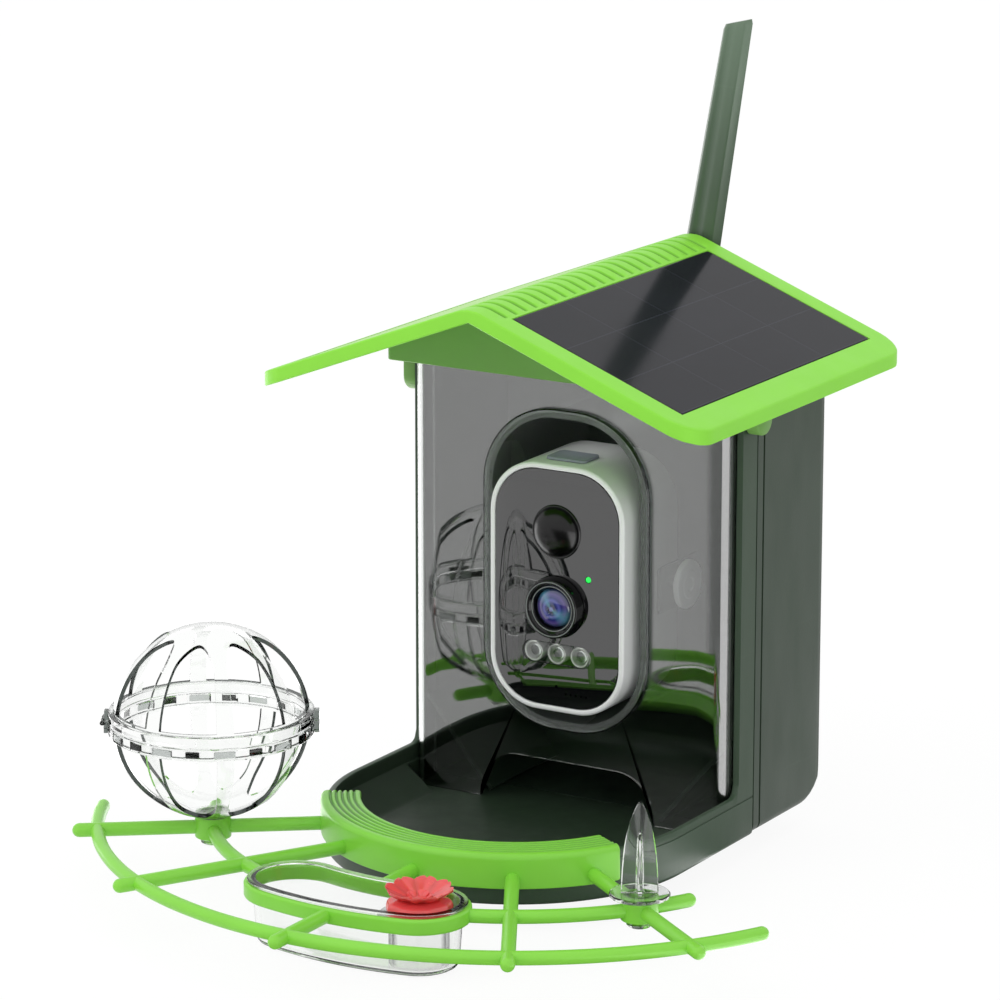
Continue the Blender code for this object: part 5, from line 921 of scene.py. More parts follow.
def falling_edge(tree, start, depth):
    """Relief that falls away towards the face's outline. How far a point lies past the inner box, with the
    corners counted as round, goes from nought at the start of the fall to one at the edge, and less at the
    right side, where the plate stays flatter. The fall goes up by a power of it."""
    place = add(tree, "TexCoord").outputs["Object"]
    across = add(tree, "SeparateXYZ", {0: place}).outputs["X"]
    by_side = spread_over(tree, across, -0.001, 0.001, 1.0, RIGHT_SHARE)
    sides = add(tree, "CombineXYZ", {"X": by_side, "Z": 1.0}).outputs[0]
    inner = (CAM_WIDE / 2 - CAM_WALL - start, 0, CAM_TALL / 2 - CAM_WALL - start)
    for operation, value in (("SUBTRACT", (0, 0, CAM_MID)), ("ABSOLUTE", None), ("SUBTRACT", inner),
                             ("MAXIMUM", (0, 0, 0)), ("MULTIPLY", (1 / start, 0, 1 / start)),
                             ("MULTIPLY", sides)):
        place = add(tree, "VectorMath", {0: place, **({1: value} if value else {})},
                    operation=operation).outputs[0]
    past = add(tree, "VectorMath", {0: place}, operation="LENGTH").outputs["Value"]
    return relief(tree, maths(tree, "POWER", past, FALL_POWER), 1.0, depth, invert=True)


def finish_cad(finish, *nodes):
    """Gives pieces of the CAD, whose meshes stay as they are, a finish."""
    for node in nodes:
        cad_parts[node].material_slots[0].material = finish


tree = face_black.node_tree
set_sockets(tree, tree.nodes["Bump"], {"Normal": falling_edge(tree, FALL_REACH, FALL_DEPTH)})
finish_cad(face_black, "camera_face")


# Motion sensor: a dome of smoked clear plastic in a black ring, set in the camera's face above the lens. A
# small steel can behind it shows through.
FACE_Y, SENSOR_MID = -0.0543, 0.1343
RING_OUT, RING_HIGH, RING_IN, RING_WALL = 0.0123, 0.0009, 0.0092, 0.0010
RING_DEEP, RING_OFF = 0.0028, 0.00005
DOME_ROUND, DOME_HIGH, DOME_SHEET, DOME_FOOT = 0.0112, 0.0058, 0.0009, 0.0004


def on_face(profile, steps, height, ends="fan", across=0.0, out=0.0):
    """Spins a profile about an axis that points out of the camera's face at a height."""
    return turned_shell(profile, steps, (across, FACE_Y - out, height), (0, -1, 0), ends)


smoked = clear_plastic("smoked_dome", srgb(26, 26, 30), 1.42, roughness=0.22, flow=0.02, flow_scale=300)
ring_black = moulded("black_ring_plastic", srgb(13, 13, 15), 0.20, spread=0.03, grain=500, grain_depth=0.02)
ring = rounded_path([(DOME_ROUND - 0.0005, DOME_FOOT), (DOME_ROUND - 0.0004, RING_HIGH * 0.7),
                     (DOME_ROUND + 0.0006, RING_HIGH), (RING_OUT - 0.0003, RING_HIGH * 0.8),
                     (RING_OUT, RING_OFF), (RING_IN + RING_WALL, RING_OFF),
                     (RING_IN + RING_WALL, -RING_DEEP), (RING_IN, -RING_DEEP), (RING_IN, 0.0001)],
                    (0, 0.0002, 0.0003, 0.0003, 0, 0, 0, 0, 0), 4)
new_piece("sensor_ring", [on_face(ring, 72, SENSOR_MID, "ring")], ring_black, "camera")
outside, inside = [arc((0, DOME_FOOT), (DOME_ROUND - sheet, DOME_HIGH - sheet), 90, 0, 15)
                   for sheet in (0, DOME_SHEET)]
new_piece("sensor_dome", [on_face(np.concatenate((outside, inside[::-1])), 64, SENSOR_MID)], smoked, "camera",
          ["pir_dome"], crease=50)


# Lens: a black stepped plastic barrel that stands out of the face, with a painted highlight, a thin grey
# ring, on the edge of two of its steps. The front glass sits inside it under a thin coating, and its rings
# of blue and violet and its pale blue glints are painted reflections.
LENS_MID, LENS_OUT, LENS_STAND, GLASS_R = 0.1001, 0.0140, 0.0056, 0.0092
STEP_DOWN, HIGHLIGHT_RINGS, HIGHLIGHT_HALF = 0.0013, ((0.0123, 0), (0.0101, 0.0013)), 0.00022
GLASS_LOW, GLASS_BOW, GLASS_REACH, GLASS_EDGE = 0.0022, 0.0026, 0.93, 0.0003
# Painted reflections: rings of blue and violet with a bright middle, and sectors of pale blue glint.
PAINTED_REFLECTION_RINGS = ((0, srgb(150, 150, 200)), (0.09, srgb(110, 110, 170)), (0.15, srgb(14, 16, 50)),
              (0.30, srgb(30, 40, 110)), (0.42, srgb(84, 84, 170)), (0.55, srgb(40, 44, 116)),
              (0.72, srgb(88, 72, 140)), (0.86, srgb(52, 54, 96)), (1, srgb(20, 20, 34)))
GLINT_SECTORS = ((0, 0), (0.10, 0), (0.20, 0.55), (0.28, 0.05), (0.52, 0), (0.66, 0.5), (0.76, 0), (1, 0))
COAT_PAINTED_GLINT = srgb(96, 168, 190)
barrel = rounded_path([(LENS_OUT, -0.0028), (LENS_OUT, 0.0014), (0.0132, LENS_STAND), (0.0124, LENS_STAND),
                       (0.0120, LENS_STAND - 0.0005), (0.0112, LENS_STAND - 0.0005),
                       (0.0104, LENS_STAND - STEP_DOWN), (0.0098, LENS_STAND - STEP_DOWN),
                       (GLASS_R, 0.0034), (GLASS_R, -0.0030), (0.0045, -0.0034), (0, -0.0034)],
                      (0, 0.0009, 0.0006, 0.0003, 0.0001, 0.0001, 0.0001, 0.0002, 0, 0, 0, 0), 4)
barrel = np.concatenate(([(0, -0.0060), (LENS_OUT, -0.0060)], barrel))
barrel_black = moulded("black_barrel_plastic", srgb(11, 11, 13), 0.12, level=0.35, spread=0.03, grain=700,
                       grain_depth=0.02)
new_piece("lens_barrel_piece", [on_face(barrel, 96, LENS_MID)], barrel_black, "camera",
          ["lens_barrel"], crease=40)
# Painted highlight: thin grey rings on two of the barrel's step edges stand in for the light they catch.
painted_edge_highlight = moulded("painted_edge_highlight_grey", srgb(126, 130, 130), 0.30, cloud=0.06, grain_depth=0.05)
highlight_ring_shells = [on_face(rounded_path([(radius - HIGHLIGHT_HALF, -0.0002), (radius + HIGHLIGHT_HALF, -0.0002),
                               (radius + HIGHLIGHT_HALF, 0.00012), (radius - HIGHLIGHT_HALF, 0.00012)],
                              (0, 0, 0.0001, 0.0001), 4, closed=True), 96, LENS_MID, "ring",
                 out=LENS_STAND - down)
         for radius, down in HIGHLIGHT_RINGS]
new_piece("lens_highlight_rings", highlight_ring_shells, painted_edge_highlight, "camera")


def coated_glass(name):
    """A dark lens whose colour holds painted reflections: rings of blue and violet about the lens's own
    axis, with two sectors of a painted pale blue glint, under a clear coat."""
    finish, tree, shader = new_finish(name, {"Coat Weight": 1.0, "Coat Roughness": 0.02})
    centred = add(tree, "Mapping", {"Vector": add(tree, "TexCoord").outputs["Object"],
                                    "Location": (0, 0, -LENS_MID)}).outputs["Vector"]
    flat = add(tree, "VectorMath", {0: centred, 1: (1, 0, 1)}, operation="MULTIPLY").outputs[0]
    reach = add(tree, "VectorMath", {0: flat}, operation="LENGTH").outputs["Value"]
    rings = add_ramp(tree, spread_over(tree, reach, 0, GLASS_R), PAINTED_REFLECTION_RINGS)
    upright = add(tree, "Mapping", {"Vector": centred, "Rotation": (np.radians(90), 0, np.radians(20))})
    around = add(tree, "TexGradient", {"Vector": upright.outputs["Vector"]},
                 gradient_type="RADIAL").outputs["Fac"]
    set_sockets(tree, shader, {
        "Base Color": mixed(tree, add_ramp(tree, around, GLINT_SECTORS), rings, COAT_PAINTED_GLINT),
        "Roughness": ranged(tree, textured(tree, 900, 2), 0.03, 0.06)})
    return finish


bow = np.linspace(0, 1, 12)
height = GLASS_LOW + GLASS_BOW * (np.sqrt(1 - (GLASS_REACH * bow) ** 2) - 0.37) / 0.63
glass_half = GLASS_R - GLASS_EDGE
glass = np.concatenate((np.stack((glass_half * bow, height), -1), [(glass_half, -0.0026), (0, -0.0026)]))
new_piece("lens_front_glass", [on_face(glass, 72, LENS_MID)], coated_glass("coated_lens_glass"), "camera",
          ["lens_glass"], crease=50)


# Night lamps: three clear bulbs in a row under the lens, each in a pale silvered ring. One clear cover with
# round ends lies in the camera's face over all three.
LAMP_MID, LAMP_PITCH = 0.0783, 0.0117
BULB_HALF, BULB_SUNK, BULB_BOW, BULB_DEEP = 0.0026, 0.0006, 0.0022, 0.0060
CUP_IN, CUP_OUT, CUP_DEEP = 0.0028, 0.0047, 0.0062
COVER_WIDE, COVER_TALL, COVER_ROUND, COVER_EDGE = 0.0344, 0.0094, 0.0047, 0.0002
lamp_clear = clear_plastic("clear_lamp_bulb", srgb(225, 232, 226), 1.5, roughness=0.02, flow=0.02,
                           flow_scale=500)
reflector = moulded("silvered_reflector", srgb(250, 253, 248), 0.26, spread=0.03, grain=1500,
                    grain_depth=0.03, Metallic=0.55)


def bulb_profile(half, sunk, bow, foot):
    """The profile of a small lamp: an oval tip on a straight side that ends at its foot."""
    return np.concatenate((arc((0, -sunk - bow), (half, bow), 90, 0, 15), [(half, -foot), (0, -foot)]))


bulb = bulb_profile(BULB_HALF, BULB_SUNK, BULB_BOW, BULB_DEEP)
cup = rounded_path([(CUP_IN, -0.0040), (0.0037, -BULB_SUNK), (0.0043, -0.0002), (CUP_OUT, -BULB_SUNK),
                    (CUP_OUT, -CUP_DEEP), (CUP_IN, -CUP_DEEP)], (0, 0.0003, 0.0003, 0.0002, 0, 0), 4)
for number in (1, 2, 3):
    across = (number - 2) * LAMP_PITCH
    new_piece("night_lamp_%d" % number, [on_face(bulb, 32, LAMP_MID, across=across)], lamp_clear, "camera",
              ["ir_led_%d" % number], crease=50)
    new_piece("night_lamp_ring_%d" % number, [on_face(cup, 40, LAMP_MID, "ring", across)], reflector,
              "camera")
cover_clear = clear_plastic("clear_lamp_cover", srgb(246, 248, 247), 1.55, flow=0.01)
stations = ((0, FACE_Y + 0.0008), (0, FACE_Y + COVER_EDGE), (COVER_EDGE, FACE_Y))
cover = swept(box_loops(COVER_WIDE, COVER_TALL, COVER_ROUND, stations, "XZ", (0, LAMP_MID), 12))
new_piece("night_lamp_cover", [cover], cover_clear, "camera", ["ir_cover"])


# Status light: a small bulb of green plastic that glows beside the lens. It fills a hole in the camera's
# face, and its tip is level with it.
LIGHT_X, LIGHT_Z, LIGHT_R, LIGHT_BOW, LIGHT_DEEP = 0.0160, 0.1145, 0.0013, 0.0003, 0.0050
green_glow = moulded("green_lamp_plastic", srgb(30, 190, 70), 0.25, grain=2000, grain_depth=0.02,
                     **{"Emission Color": srgb(40, 235, 90), "Emission Strength": 0.8})
tip = bulb_profile(LIGHT_R, 0, LIGHT_BOW, LIGHT_DEEP)
new_piece("status_lamp", [on_face(tip, 24, LIGHT_Z, across=LIGHT_X)], green_glow, "camera",
          ["status_led"])


# Card door: a soft grey rubber flap on the camera's top, with a rounded edge and two little pips to pull it
# by. It is hinged along one edge, and lies flat on the shell when it is shut.
FLAP_WIDE, FLAP_DEEP, FLAP_CORNER, FLAP_Y = 0.0200, 0.0150, 0.0026, -0.0402
FLAP_LOW, FLAP_HIGH, FLAP_SAG = 0.1649, 0.1661, 0.0001
PIP_R, PIP_DEEP, PIP_X, PIP_Y = 0.0008, 0.0004, 0.0042, -0.0412
rubber = moulded("grey_rubber", srgb(150, 152, 170), 0.62, cloud=0.04, grain=1300, grain_depth=0.14,
                 level=0.35)
flap_top = FLAP_HIGH - FLAP_SAG
stations = ((0, FLAP_LOW), (0, FLAP_HIGH - 0.0005), (0.00015, FLAP_HIGH - 0.0002), (0.0005, flap_top),
            (0.0014, flap_top))
shells = [swept(box_loops(FLAP_WIDE, FLAP_DEEP, FLAP_CORNER, stations, "XY", (0, FLAP_Y), 8))]
pip = np.concatenate((arc(0, (PIP_R, FLAP_SAG), 90, 0, 5), [(PIP_R, -PIP_DEEP), (0, -PIP_DEEP)]))
shells += [turned_shell(pip, 16, (side * PIP_X, PIP_Y, flap_top)) for side in (-1, 1)]
new_piece("card_door_flap", shells, rubber, "card_door", ["card_flap"])


# Inside the camera: the green circuit board, the cell in its blue sleeve and the steel speaker, which the
# shell hides unless it is taken apart. The motion sensor's can and the antenna's pin are of the same steel.
board_green = moulded("circuit_board", srgb(28, 84, 52), 0.35, cloud=0.12, grain=400, grain_depth=0.2)
cell_blue = moulded("cell_sleeve", srgb(64, 92, 128), 0.30, cloud=0.03, grain=300, grain_depth=0.03)
steel = moulded("brushed_steel", srgb(176, 178, 182), 0.28, spread=0.06, cloud=0.03, grain_depth=0.05,
                Metallic=1.0)
finish_cad(board_green, "camera_board")
finish_cad(cell_blue, "camera_battery")
finish_cad(steel, "camera_speaker", "pir_sensor", "antenna_pin")


# Tilt knobs: white thumb screws through the tube's walls. Each has a neck, a disc with a rounded edge and a
# shallow raised ring with a dimple at its middle.
KNOB_SEAT, KNOB_NECK, KNOB_DISC, KNOB_FACE = 0.0415, 0.0070, 0.0437, 0.0467
KNOB_R, SHANK_R, SHANK_TIP = 0.0110, 0.0020, 0.0301
shoulder, dimple = KNOB_FACE - 0.0003, KNOB_FACE - 0.0006
knob = rounded_path([(SHANK_R, SHANK_TIP), (SHANK_R, KNOB_SEAT), (KNOB_NECK, KNOB_SEAT),
                     (KNOB_NECK, KNOB_DISC), (KNOB_R, KNOB_DISC), (KNOB_R, shoulder), (0.0066, shoulder),
                     (0.0060, KNOB_FACE), (0.0034, KNOB_FACE), (0.0028, dimple), (0.0006, dimple)],
                    (0, 0, 0, 0.0006, 0.0004, 0.0008, 0.0002, 0.0003, 0.0003, 0.0003, 0), 4)
knob = np.concatenate(([(0, SHANK_TIP)], knob, [(0, dimple)]))
for side, word in ((-1, "left"), (1, "right")):
    new_piece("thumb_screw_" + word, [turned_shell(knob, 64, (0, TILT_Y, TILT_Z), (side, 0, 0))],
              white_plastic, "knob_" + word, ["tilt_knob_" + word])


# Perch: one bright green moulding that clips over the tray's front rim. A grooved collar carries five round
# spokes, two arcs of bar, a ring for the nectar cup, which cuts the middle spoke in two, and two sockets
# for what plugs in.
COLLAR_TURN, COLLAR_ROUND, COLLAR_LIP, COLLAR_END = 62, 0.0028, 0.0012, 0.0010
COLLAR_IN, COLLAR_OUT, COLLAR_TOP, COLLAR_UNDER, COLLAR_FOOT = 0.068, 0.0859, 0.0238, 0.0218, 0.0082
COLLAR_MIDDLE, COLLAR_DRAW, COLLAR_REACH = (0.0765, 0.0224), 0.0015, 0.077
CLIP_WALL, CLIP_R, CLIP_THICK, CLIP_FOOT = 0.0839, 0.0801, 0.0019, 0.0155
COLLAR_GROOVES, COLLAR_GROOVE, COLLAR_PITCH, COLLAR_DEEP, COLLAR_HALF = 5, 0.071, 0.0026, 0.0012, 0.0009
BAR_Z, SPOKE_R, ARC_R = 0.0125, 0.0031, 0.0030
SPOKE_ROOT, SPOKE_TIP, OUTER_ARC, INNER_ARC = 0.0850, 0.1944, 0.1834, 0.1330
ARC_TURN, MIDDLE_TURN, SOCKET_TURN = 65, 29.8, 53.5
RING_HALF, RING_WALL, RING_TURN = 0.0220, 0.0030, 13.3
RING_LOW, RING_TOP, RING_ROUND = 0.0092, 0.0162, 0.00145
BOSS_R, BOSS_BORE, BOSS_LOW, BOSS_HIGH, BOSS_ROUND = 0.0080, 0.0059, 0.0080, 0.0177, 0.0006
PERCH_GREEN, PERCH_SHADE = srgb(134, 214, 66), srgb(52, 112, 22)


def about_tray(radius, degrees, height):
    """Points at a reach and angle about the tray's centre. Nought is straight ahead, plus to the right."""
    turn = np.radians(degrees)
    x, y = radius * np.sin(turn), TRAY_CENTRE - radius * np.cos(turn)
    return np.stack(np.broadcast_arrays(x, y, height), -1)


def bar_shell(path, radius, round_start=False, round_end=True):
    """A round bar along a level path. Its loops stand square to the path, and a rounded end draws in as a
    quarter circle does."""
    path, up = np.asarray(path, float), np.array((0, 0, 1.0))
    way = one_long(np.gradient(path, axis=0))
    reach = np.full(len(path), radius)
    cap = np.radians((20, 40, 58, 74, 85))[:, None]
    if round_end:
        nose = path[-1] + way[-1] * radius * (np.concatenate(([[0]], np.sin(cap))) - 1)
        path = np.concatenate((path[:-1], nose))
        way = np.concatenate((way, np.repeat(way[-1:], 5, 0)))
        reach = np.concatenate((reach, radius * np.cos(cap[:, 0])))
    if round_start:
        nose = path[0] - way[0] * radius * (np.concatenate((np.sin(cap[::-1]), [[0]])) - 1)
        path = np.concatenate((nose, path[1:]))
        way = np.concatenate((np.repeat(way[:1], 5, 0), way))
        reach = np.concatenate((radius * np.cos(cap[::-1, 0]), reach))
    turns = np.linspace(0, 2 * np.pi, 20, endpoint=False)[None, :, None]
    circles = np.cross(up, way)[:, None] * np.cos(turns) + up * np.sin(turns)
    return swept(path[:, None] + reach[:, None, None] * circles)


def kidney(half_width):
    """The outline of a slot bent round the tray, anticlockwise: its outer side, a half circle, its inner
    side and another half circle."""
    sides = []
    for side, middle in ((1, RING_TURN), (-1, 180 - RING_TURN)):
        sweep = side * np.linspace(-RING_TURN, RING_TURN, 40)
        long = about_tray(INNER_ARC + side * half_width, sweep, 0)[:, :2]
        end = about_tray(INNER_ARC, side * RING_TURN, 0)[:2]
        sides += [long, arc(end, half_width, middle - 90, middle + 90, 20)[1:-1]]
    return np.concatenate(sides)


under, clip_in = COLLAR_UNDER, CLIP_R - CLIP_THICK
lip_foot, lip_out = COLLAR_UNDER - COLLAR_LIP, COLLAR_IN + 0.002
section = [(COLLAR_OUT, COLLAR_FOOT), (CLIP_WALL, COLLAR_FOOT), (CLIP_WALL, under), (CLIP_R, under),
           (CLIP_R, CLIP_FOOT), (clip_in, CLIP_FOOT), (clip_in, under), (lip_out, under), (lip_out, lip_foot),
           (COLLAR_IN, lip_foot), (COLLAR_IN, COLLAR_TOP)]
rounds = [0.0006, 0.0004, 0, 0, 0.0004, 0.0004, 0, 0, 0.0003, 0.0004, COLLAR_LIP]
for at in COLLAR_GROOVE + COLLAR_PITCH * np.arange(COLLAR_GROOVES):
    section += [(at - COLLAR_HALF, COLLAR_TOP), (at, COLLAR_TOP - COLLAR_DEEP),
                (at + COLLAR_HALF, COLLAR_TOP)]
    rounds += [0.0003, 0.0004, 0.0003]
section.append((COLLAR_OUT, COLLAR_TOP))
rounds.append(COLLAR_ROUND)
section = rounded_path(section, rounds, 5, closed=True)
edge = np.degrees(COLLAR_END * np.array((0, 0.13, 0.5)) / COLLAR_REACH)
sweep = np.linspace(-COLLAR_TURN, COLLAR_TURN, 97)[1:-1]
sweep = np.concatenate((-COLLAR_TURN + edge, sweep, COLLAR_TURN - edge[::-1]))
shrink = np.zeros((len(sweep), 1, 1))
shrink[:3, 0, 0] = shrink[:-4:-1, 0, 0] = (0.0005, 0.0004, 0.0001)
toward = np.array(COLLAR_MIDDLE) - section
toward /= np.maximum(np.linalg.norm(toward, axis=1, keepdims=True), COLLAR_DRAW)
profiles = section + toward * shrink
loops = about_tray(profiles[..., 0], sweep[:, None], profiles[..., 1])


def spoke(degrees, root, tip, count, **rounding):
    """A straight bar that points away from the tray."""
    return bar_shell(about_tray(np.linspace(root, tip, count), degrees, BAR_Z), SPOKE_R, **rounding)


def arched_bar(reach, start, end, count, **rounding):
    """A bar bent round the tray from a start angle to an end angle."""
    return bar_shell(about_tray(reach, np.linspace(start, end, count), BAR_Z), ARC_R, **rounding)


cap = np.array(tessellate_polygon([on_plane(profiles[0], 0, "XY").tolist()]))
shells = [(loops.reshape(-1, 3), linked(*loops.shape[:2], wrap_columns=True), cap,
           cap[:, ::-1] + (len(loops) - 1) * len(section))]
shells += [spoke(degrees, SPOKE_ROOT, SPOKE_TIP, 12)
           for degrees in (-SOCKET_TURN, -MIDDLE_TURN, MIDDLE_TURN, SOCKET_TURN)]
ring_end = RING_TURN + np.degrees((RING_HALF - RING_WALL / 2) / INNER_ARC)
shells += [spoke(0, SPOKE_ROOT, INNER_ARC - RING_HALF + 0.001, 6, round_end=False),
           spoke(0, INNER_ARC + RING_HALF - 0.001, SPOKE_TIP, 8),
           arched_bar(OUTER_ARC, -ARC_TURN, ARC_TURN, 90, round_start=True),
           arched_bar(INNER_ARC, -ARC_TURN, -ring_end, 30, round_start=True, round_end=False),
           arched_bar(INNER_ARC, ring_end, ARC_TURN, 30)]
ring = rounded_path([(0, RING_LOW), (0, RING_TOP), (RING_WALL, RING_TOP), (RING_WALL, RING_LOW)],
                    RING_ROUND, 6, True)
shells.append(swept(np.array([on_plane(kidney(RING_HALF - inset), height, "XY") for inset, height in ring]),
                    "ring"))
boss = rounded_path([(BOSS_BORE, BOSS_LOW), (BOSS_R, BOSS_LOW), (BOSS_R, BOSS_HIGH), (BOSS_BORE, BOSS_HIGH)],
                    BOSS_ROUND, 4, True)
shells += [turned_shell(boss, 48, about_tray(INNER_ARC, side * SOCKET_TURN, 0), ends="ring")
           for side in (-1, 1)]
perch_plastic = moulded("perch_green_plastic", PERCH_GREEN, 0.33, cloud=0.035, grain_depth=0.07,
                        painted_shade_colour=PERCH_SHADE)
# Painted shade: the collar's grooves are darkened by their depth.
last_groove = COLLAR_GROOVE + (COLLAR_GROOVES - 1) * COLLAR_PITCH
in_grooves = ((section[:, 0] > COLLAR_GROOVE - COLLAR_HALF) & (section[:, 0] < last_groove + COLLAR_HALF)
              & (section[:, 1] > under + 0.0001))
sunk = np.clip((COLLAR_TOP - section[:, 1]) / COLLAR_DEEP, 0, 1) * in_grooves
painted_shade_amount = np.concatenate([np.tile(sunk, len(loops))] + [np.zeros(len(shell[0])) for shell in shells[1:]])
new_piece("perch_moulding", shells, perch_plastic, "perch_ring", ["perch"], crease=42,
          painted_shade_amount=painted_shade_amount)


# Ball feeder: two clear cage halves that meet in a band at the middle, with tall round-topped slots all
# round for beaks. They hinge on a pin at one side, close with a clasp at the other, and stand in the left
# socket on a plug.
BALL_R, BALL_SHEET, BALL_HIGH = 0.043, 0.0018, 0.061
BALL_SLOTS, SLOT_PHASE, SLOT_SHARE = 8, -70, 0.30
SLOT_FOOT, SLOT_SHOULDER, SLOT_TOP = 0.006, 0.0307, 0.0389
BAND_R, BAND_SPLIT, BAND_HIGH = 0.0448, 0.00015, 0.005
PLATES, PLATE_TURN, PLATE_LOW, PLATE_HIGH = 10, -102.4, -0.0040, -0.0012
WINDOW_DEEP, WINDOW_MID, WINDOW_HALF, WINDOW_SLOPE = 0.0011, 0.0026, 0.0018, 0.5
NARROW_HALF, WIDE_FROM = 4.4, 11.4
HINGE_TURN, HINGE_REACH, HINGE_R, HINGE_PIN = 211, 0.0472, 0.0020, 0.0012
HINGE_BACK, HINGE_HIGH, CATCH_GAP = 0.0466, 0.0046, 0.0004
CLASP_OUT, CLASP_HALF, CLASP_HIGH = 0.0470, 0.0030, 0.0048
PLATE_BACK, PLATE_FRONT, PLATE_CORNER, NARROW_PLATE, WIDE_PLATE = 0.04385, 0.0446, 0.0002, 0.0030, 0.0046
PLUG_R, PLUG_COLLAR, PLUG_TOP, PLUG_FOOT = 0.0055, 0.0079, -0.0430, -0.056
BALL_AT = about_tray(INNER_ARC, -SOCKET_TURN, BALL_HIGH)


def merged(points, *groups):
    """Points closer than a hundredth of a millimetre become one, and faces follow them."""
    _, first, inverse = np.unique(np.round(points, 5), axis=0, return_index=True, return_inverse=True)
    return (points[first], *[inverse.reshape(-1)[group] for group in groups])


def cage_half(sign):
    """One half of the cage. A strip of it, from the middle of a slot to the middle of a rib, is worked out
    at each latitude; the slot's edge keeps to a share of the width, then closes in as an ellipse. Mirrored
    and turned copies of the strip meet all round."""
    foot, shoulder, crown = np.arcsin(np.array((SLOT_FOOT, SLOT_SHOULDER, SLOT_TOP)) / BALL_R)
    rim = np.arcsin(BAND_HIGH / BALL_R) * 0.9
    half_slot, half_pitch = np.arcsin(SLOT_SHARE), np.pi / BALL_SLOTS
    straight = np.linspace(foot, shoulder, 10)
    arch = np.linspace(0, np.pi / 2, 9)[1:]
    arch_height = np.arcsin((SLOT_SHOULDER + (SLOT_TOP - SLOT_SHOULDER) * np.sin(arch)) / BALL_R)
    edge_height = np.concatenate((straight, arch_height))
    edge_turn = np.concatenate((np.full(10, half_slot), half_slot * np.cos(arch)))
    edge_turn[-1] = 0
    share = np.linspace(0, 1, 6)
    rib_turn = edge_turn[:, None] + (half_pitch - edge_turn[:, None]) * share
    cap_height = np.concatenate((np.linspace(crown, np.radians(80), 4), [np.radians(86)]))
    low_turn = np.concatenate((np.linspace(0, half_slot, 5)[:-1],
                               half_slot + (half_pitch - half_slot) * share))
    spots, quads, start = [], [], 0
    for turns, heights in ((low_turn[None], np.array((rim, foot))[:, None]), (rib_turn, edge_height[:, None]),
                           (half_pitch * share, cap_height[:, None])):
        part = np.stack(np.broadcast_arrays(turns, heights), -1)
        spots.append(part.reshape(-1, 2))
        quads.append(linked(*part.shape[:2], start=start))
        start += part[..., 0].size
    pole = np.stack((np.arange(start - 6, start - 1), np.arange(start - 5, start), np.full(5, start)), -1)
    spots, quads = np.concatenate((*spots, [(0, np.pi / 2)])), np.concatenate(quads)
    turns = np.radians(SLOT_PHASE) + np.arange(BALL_SLOTS) * 2 * half_pitch
    turn = np.concatenate([turn + way * spots[:, 0] for turn in turns for way in (1, -1)])
    height = np.tile(spots[:, 1], 2 * BALL_SLOTS)
    groups = [np.concatenate([(group[:, ::-1] if copy % 2 else group) + copy * len(spots)
                              for copy in range(2 * BALL_SLOTS)]) for group in (quads, pole)]
    unit = np.stack((np.cos(height) * np.cos(turn), np.cos(height) * np.sin(turn), sign * np.sin(height)), -1)
    points, *groups = merged(unit * BALL_R, *groups)
    return thickened(*[BALL_AT + one_long(points) * reach for reach in (BALL_R, BALL_R - BALL_SHEET)],
                     *groups)


def spun(points, degrees):
    """Turns points about an upright line through the origin."""
    turn = np.radians(degrees)
    x, y, z = np.moveaxis(points, -1, 0)
    return np.stack((x * np.cos(turn) - y * np.sin(turn), x * np.sin(turn) + y * np.cos(turn), z), -1)


def band_half(sign):
    """Half of the middle band: a ring with a round-cornered section. The lower half has two rows of shallow
    windows sunk in it, narrow and wide by turns."""
    section = rounded_path([(BALL_R - BALL_SHEET, BAND_SPLIT), (BAND_R, BAND_SPLIT), (BAND_R, 0.0011),
                            (BAND_R, 0.0041), (BAND_R, BAND_HIGH), (BALL_R - 0.0012, BAND_HIGH)],
                           (0, 0.0003, 0, 0, 0.0004, 0), 3, True)
    turns, pitch = np.linspace(0, 360, 384, endpoint=False), 360 / PLATES
    near = np.abs((turns - PLATE_TURN + pitch / 2) % pitch - pitch / 2)
    window = sum(np.clip(past / WINDOW_SLOPE, 0, 1)
                 for past in (NARROW_HALF - near, near - WIDE_FROM)) * (sign < 0)
    in_window = (np.abs(section[:, 1] - WINDOW_MID) < WINDOW_HALF) & (section[:, 0] > BAND_R - 0.0001)
    reach = section[None, :, 0] - WINDOW_DEEP * window[:, None] * in_window[None]
    loops = np.stack(np.broadcast_arrays(reach, 0, sign * section[:, 1]), -1)
    return swept(spun(loops, turns[:, None]) + BALL_AT, "ring")


def band_block(near, far, half, low, high, degrees, corner=0.0005):
    """A block on the band at an angle, with round corners in plan and level edges drawn in a little."""
    plan = rounded_box(far - near, 2 * half, corner, 4)
    loops = np.array([on_plane(plan * share + ((near + far) / 2, 0), height, "XY")
                      for share, height in ((0.9, low), (1, low + 0.0002), (1, high - 0.0002), (0.9, high))])
    return swept(spun(loops, degrees) + BALL_AT)


def hinge_barrel(near, far):
    """A short tube round the hinge pin, its ends rounded."""
    profile = rounded_path([(HINGE_PIN, near), (HINGE_R, near), (HINGE_R, far), (HINGE_PIN, far)],
                           0.0003, 3, True)
    place, way = spun(np.array(((HINGE_REACH, 0, 0), (0, 1, 0))), HINGE_TURN)
    return turned_shell(profile, 28, place + BALL_AT, way, "ring")


def catch(side, far, half, high, degrees):
    """A block on the band, under or over its split."""
    return band_block(BAND_R - 0.0001, far, half, *sorted((side * CATCH_GAP, side * high)), degrees)


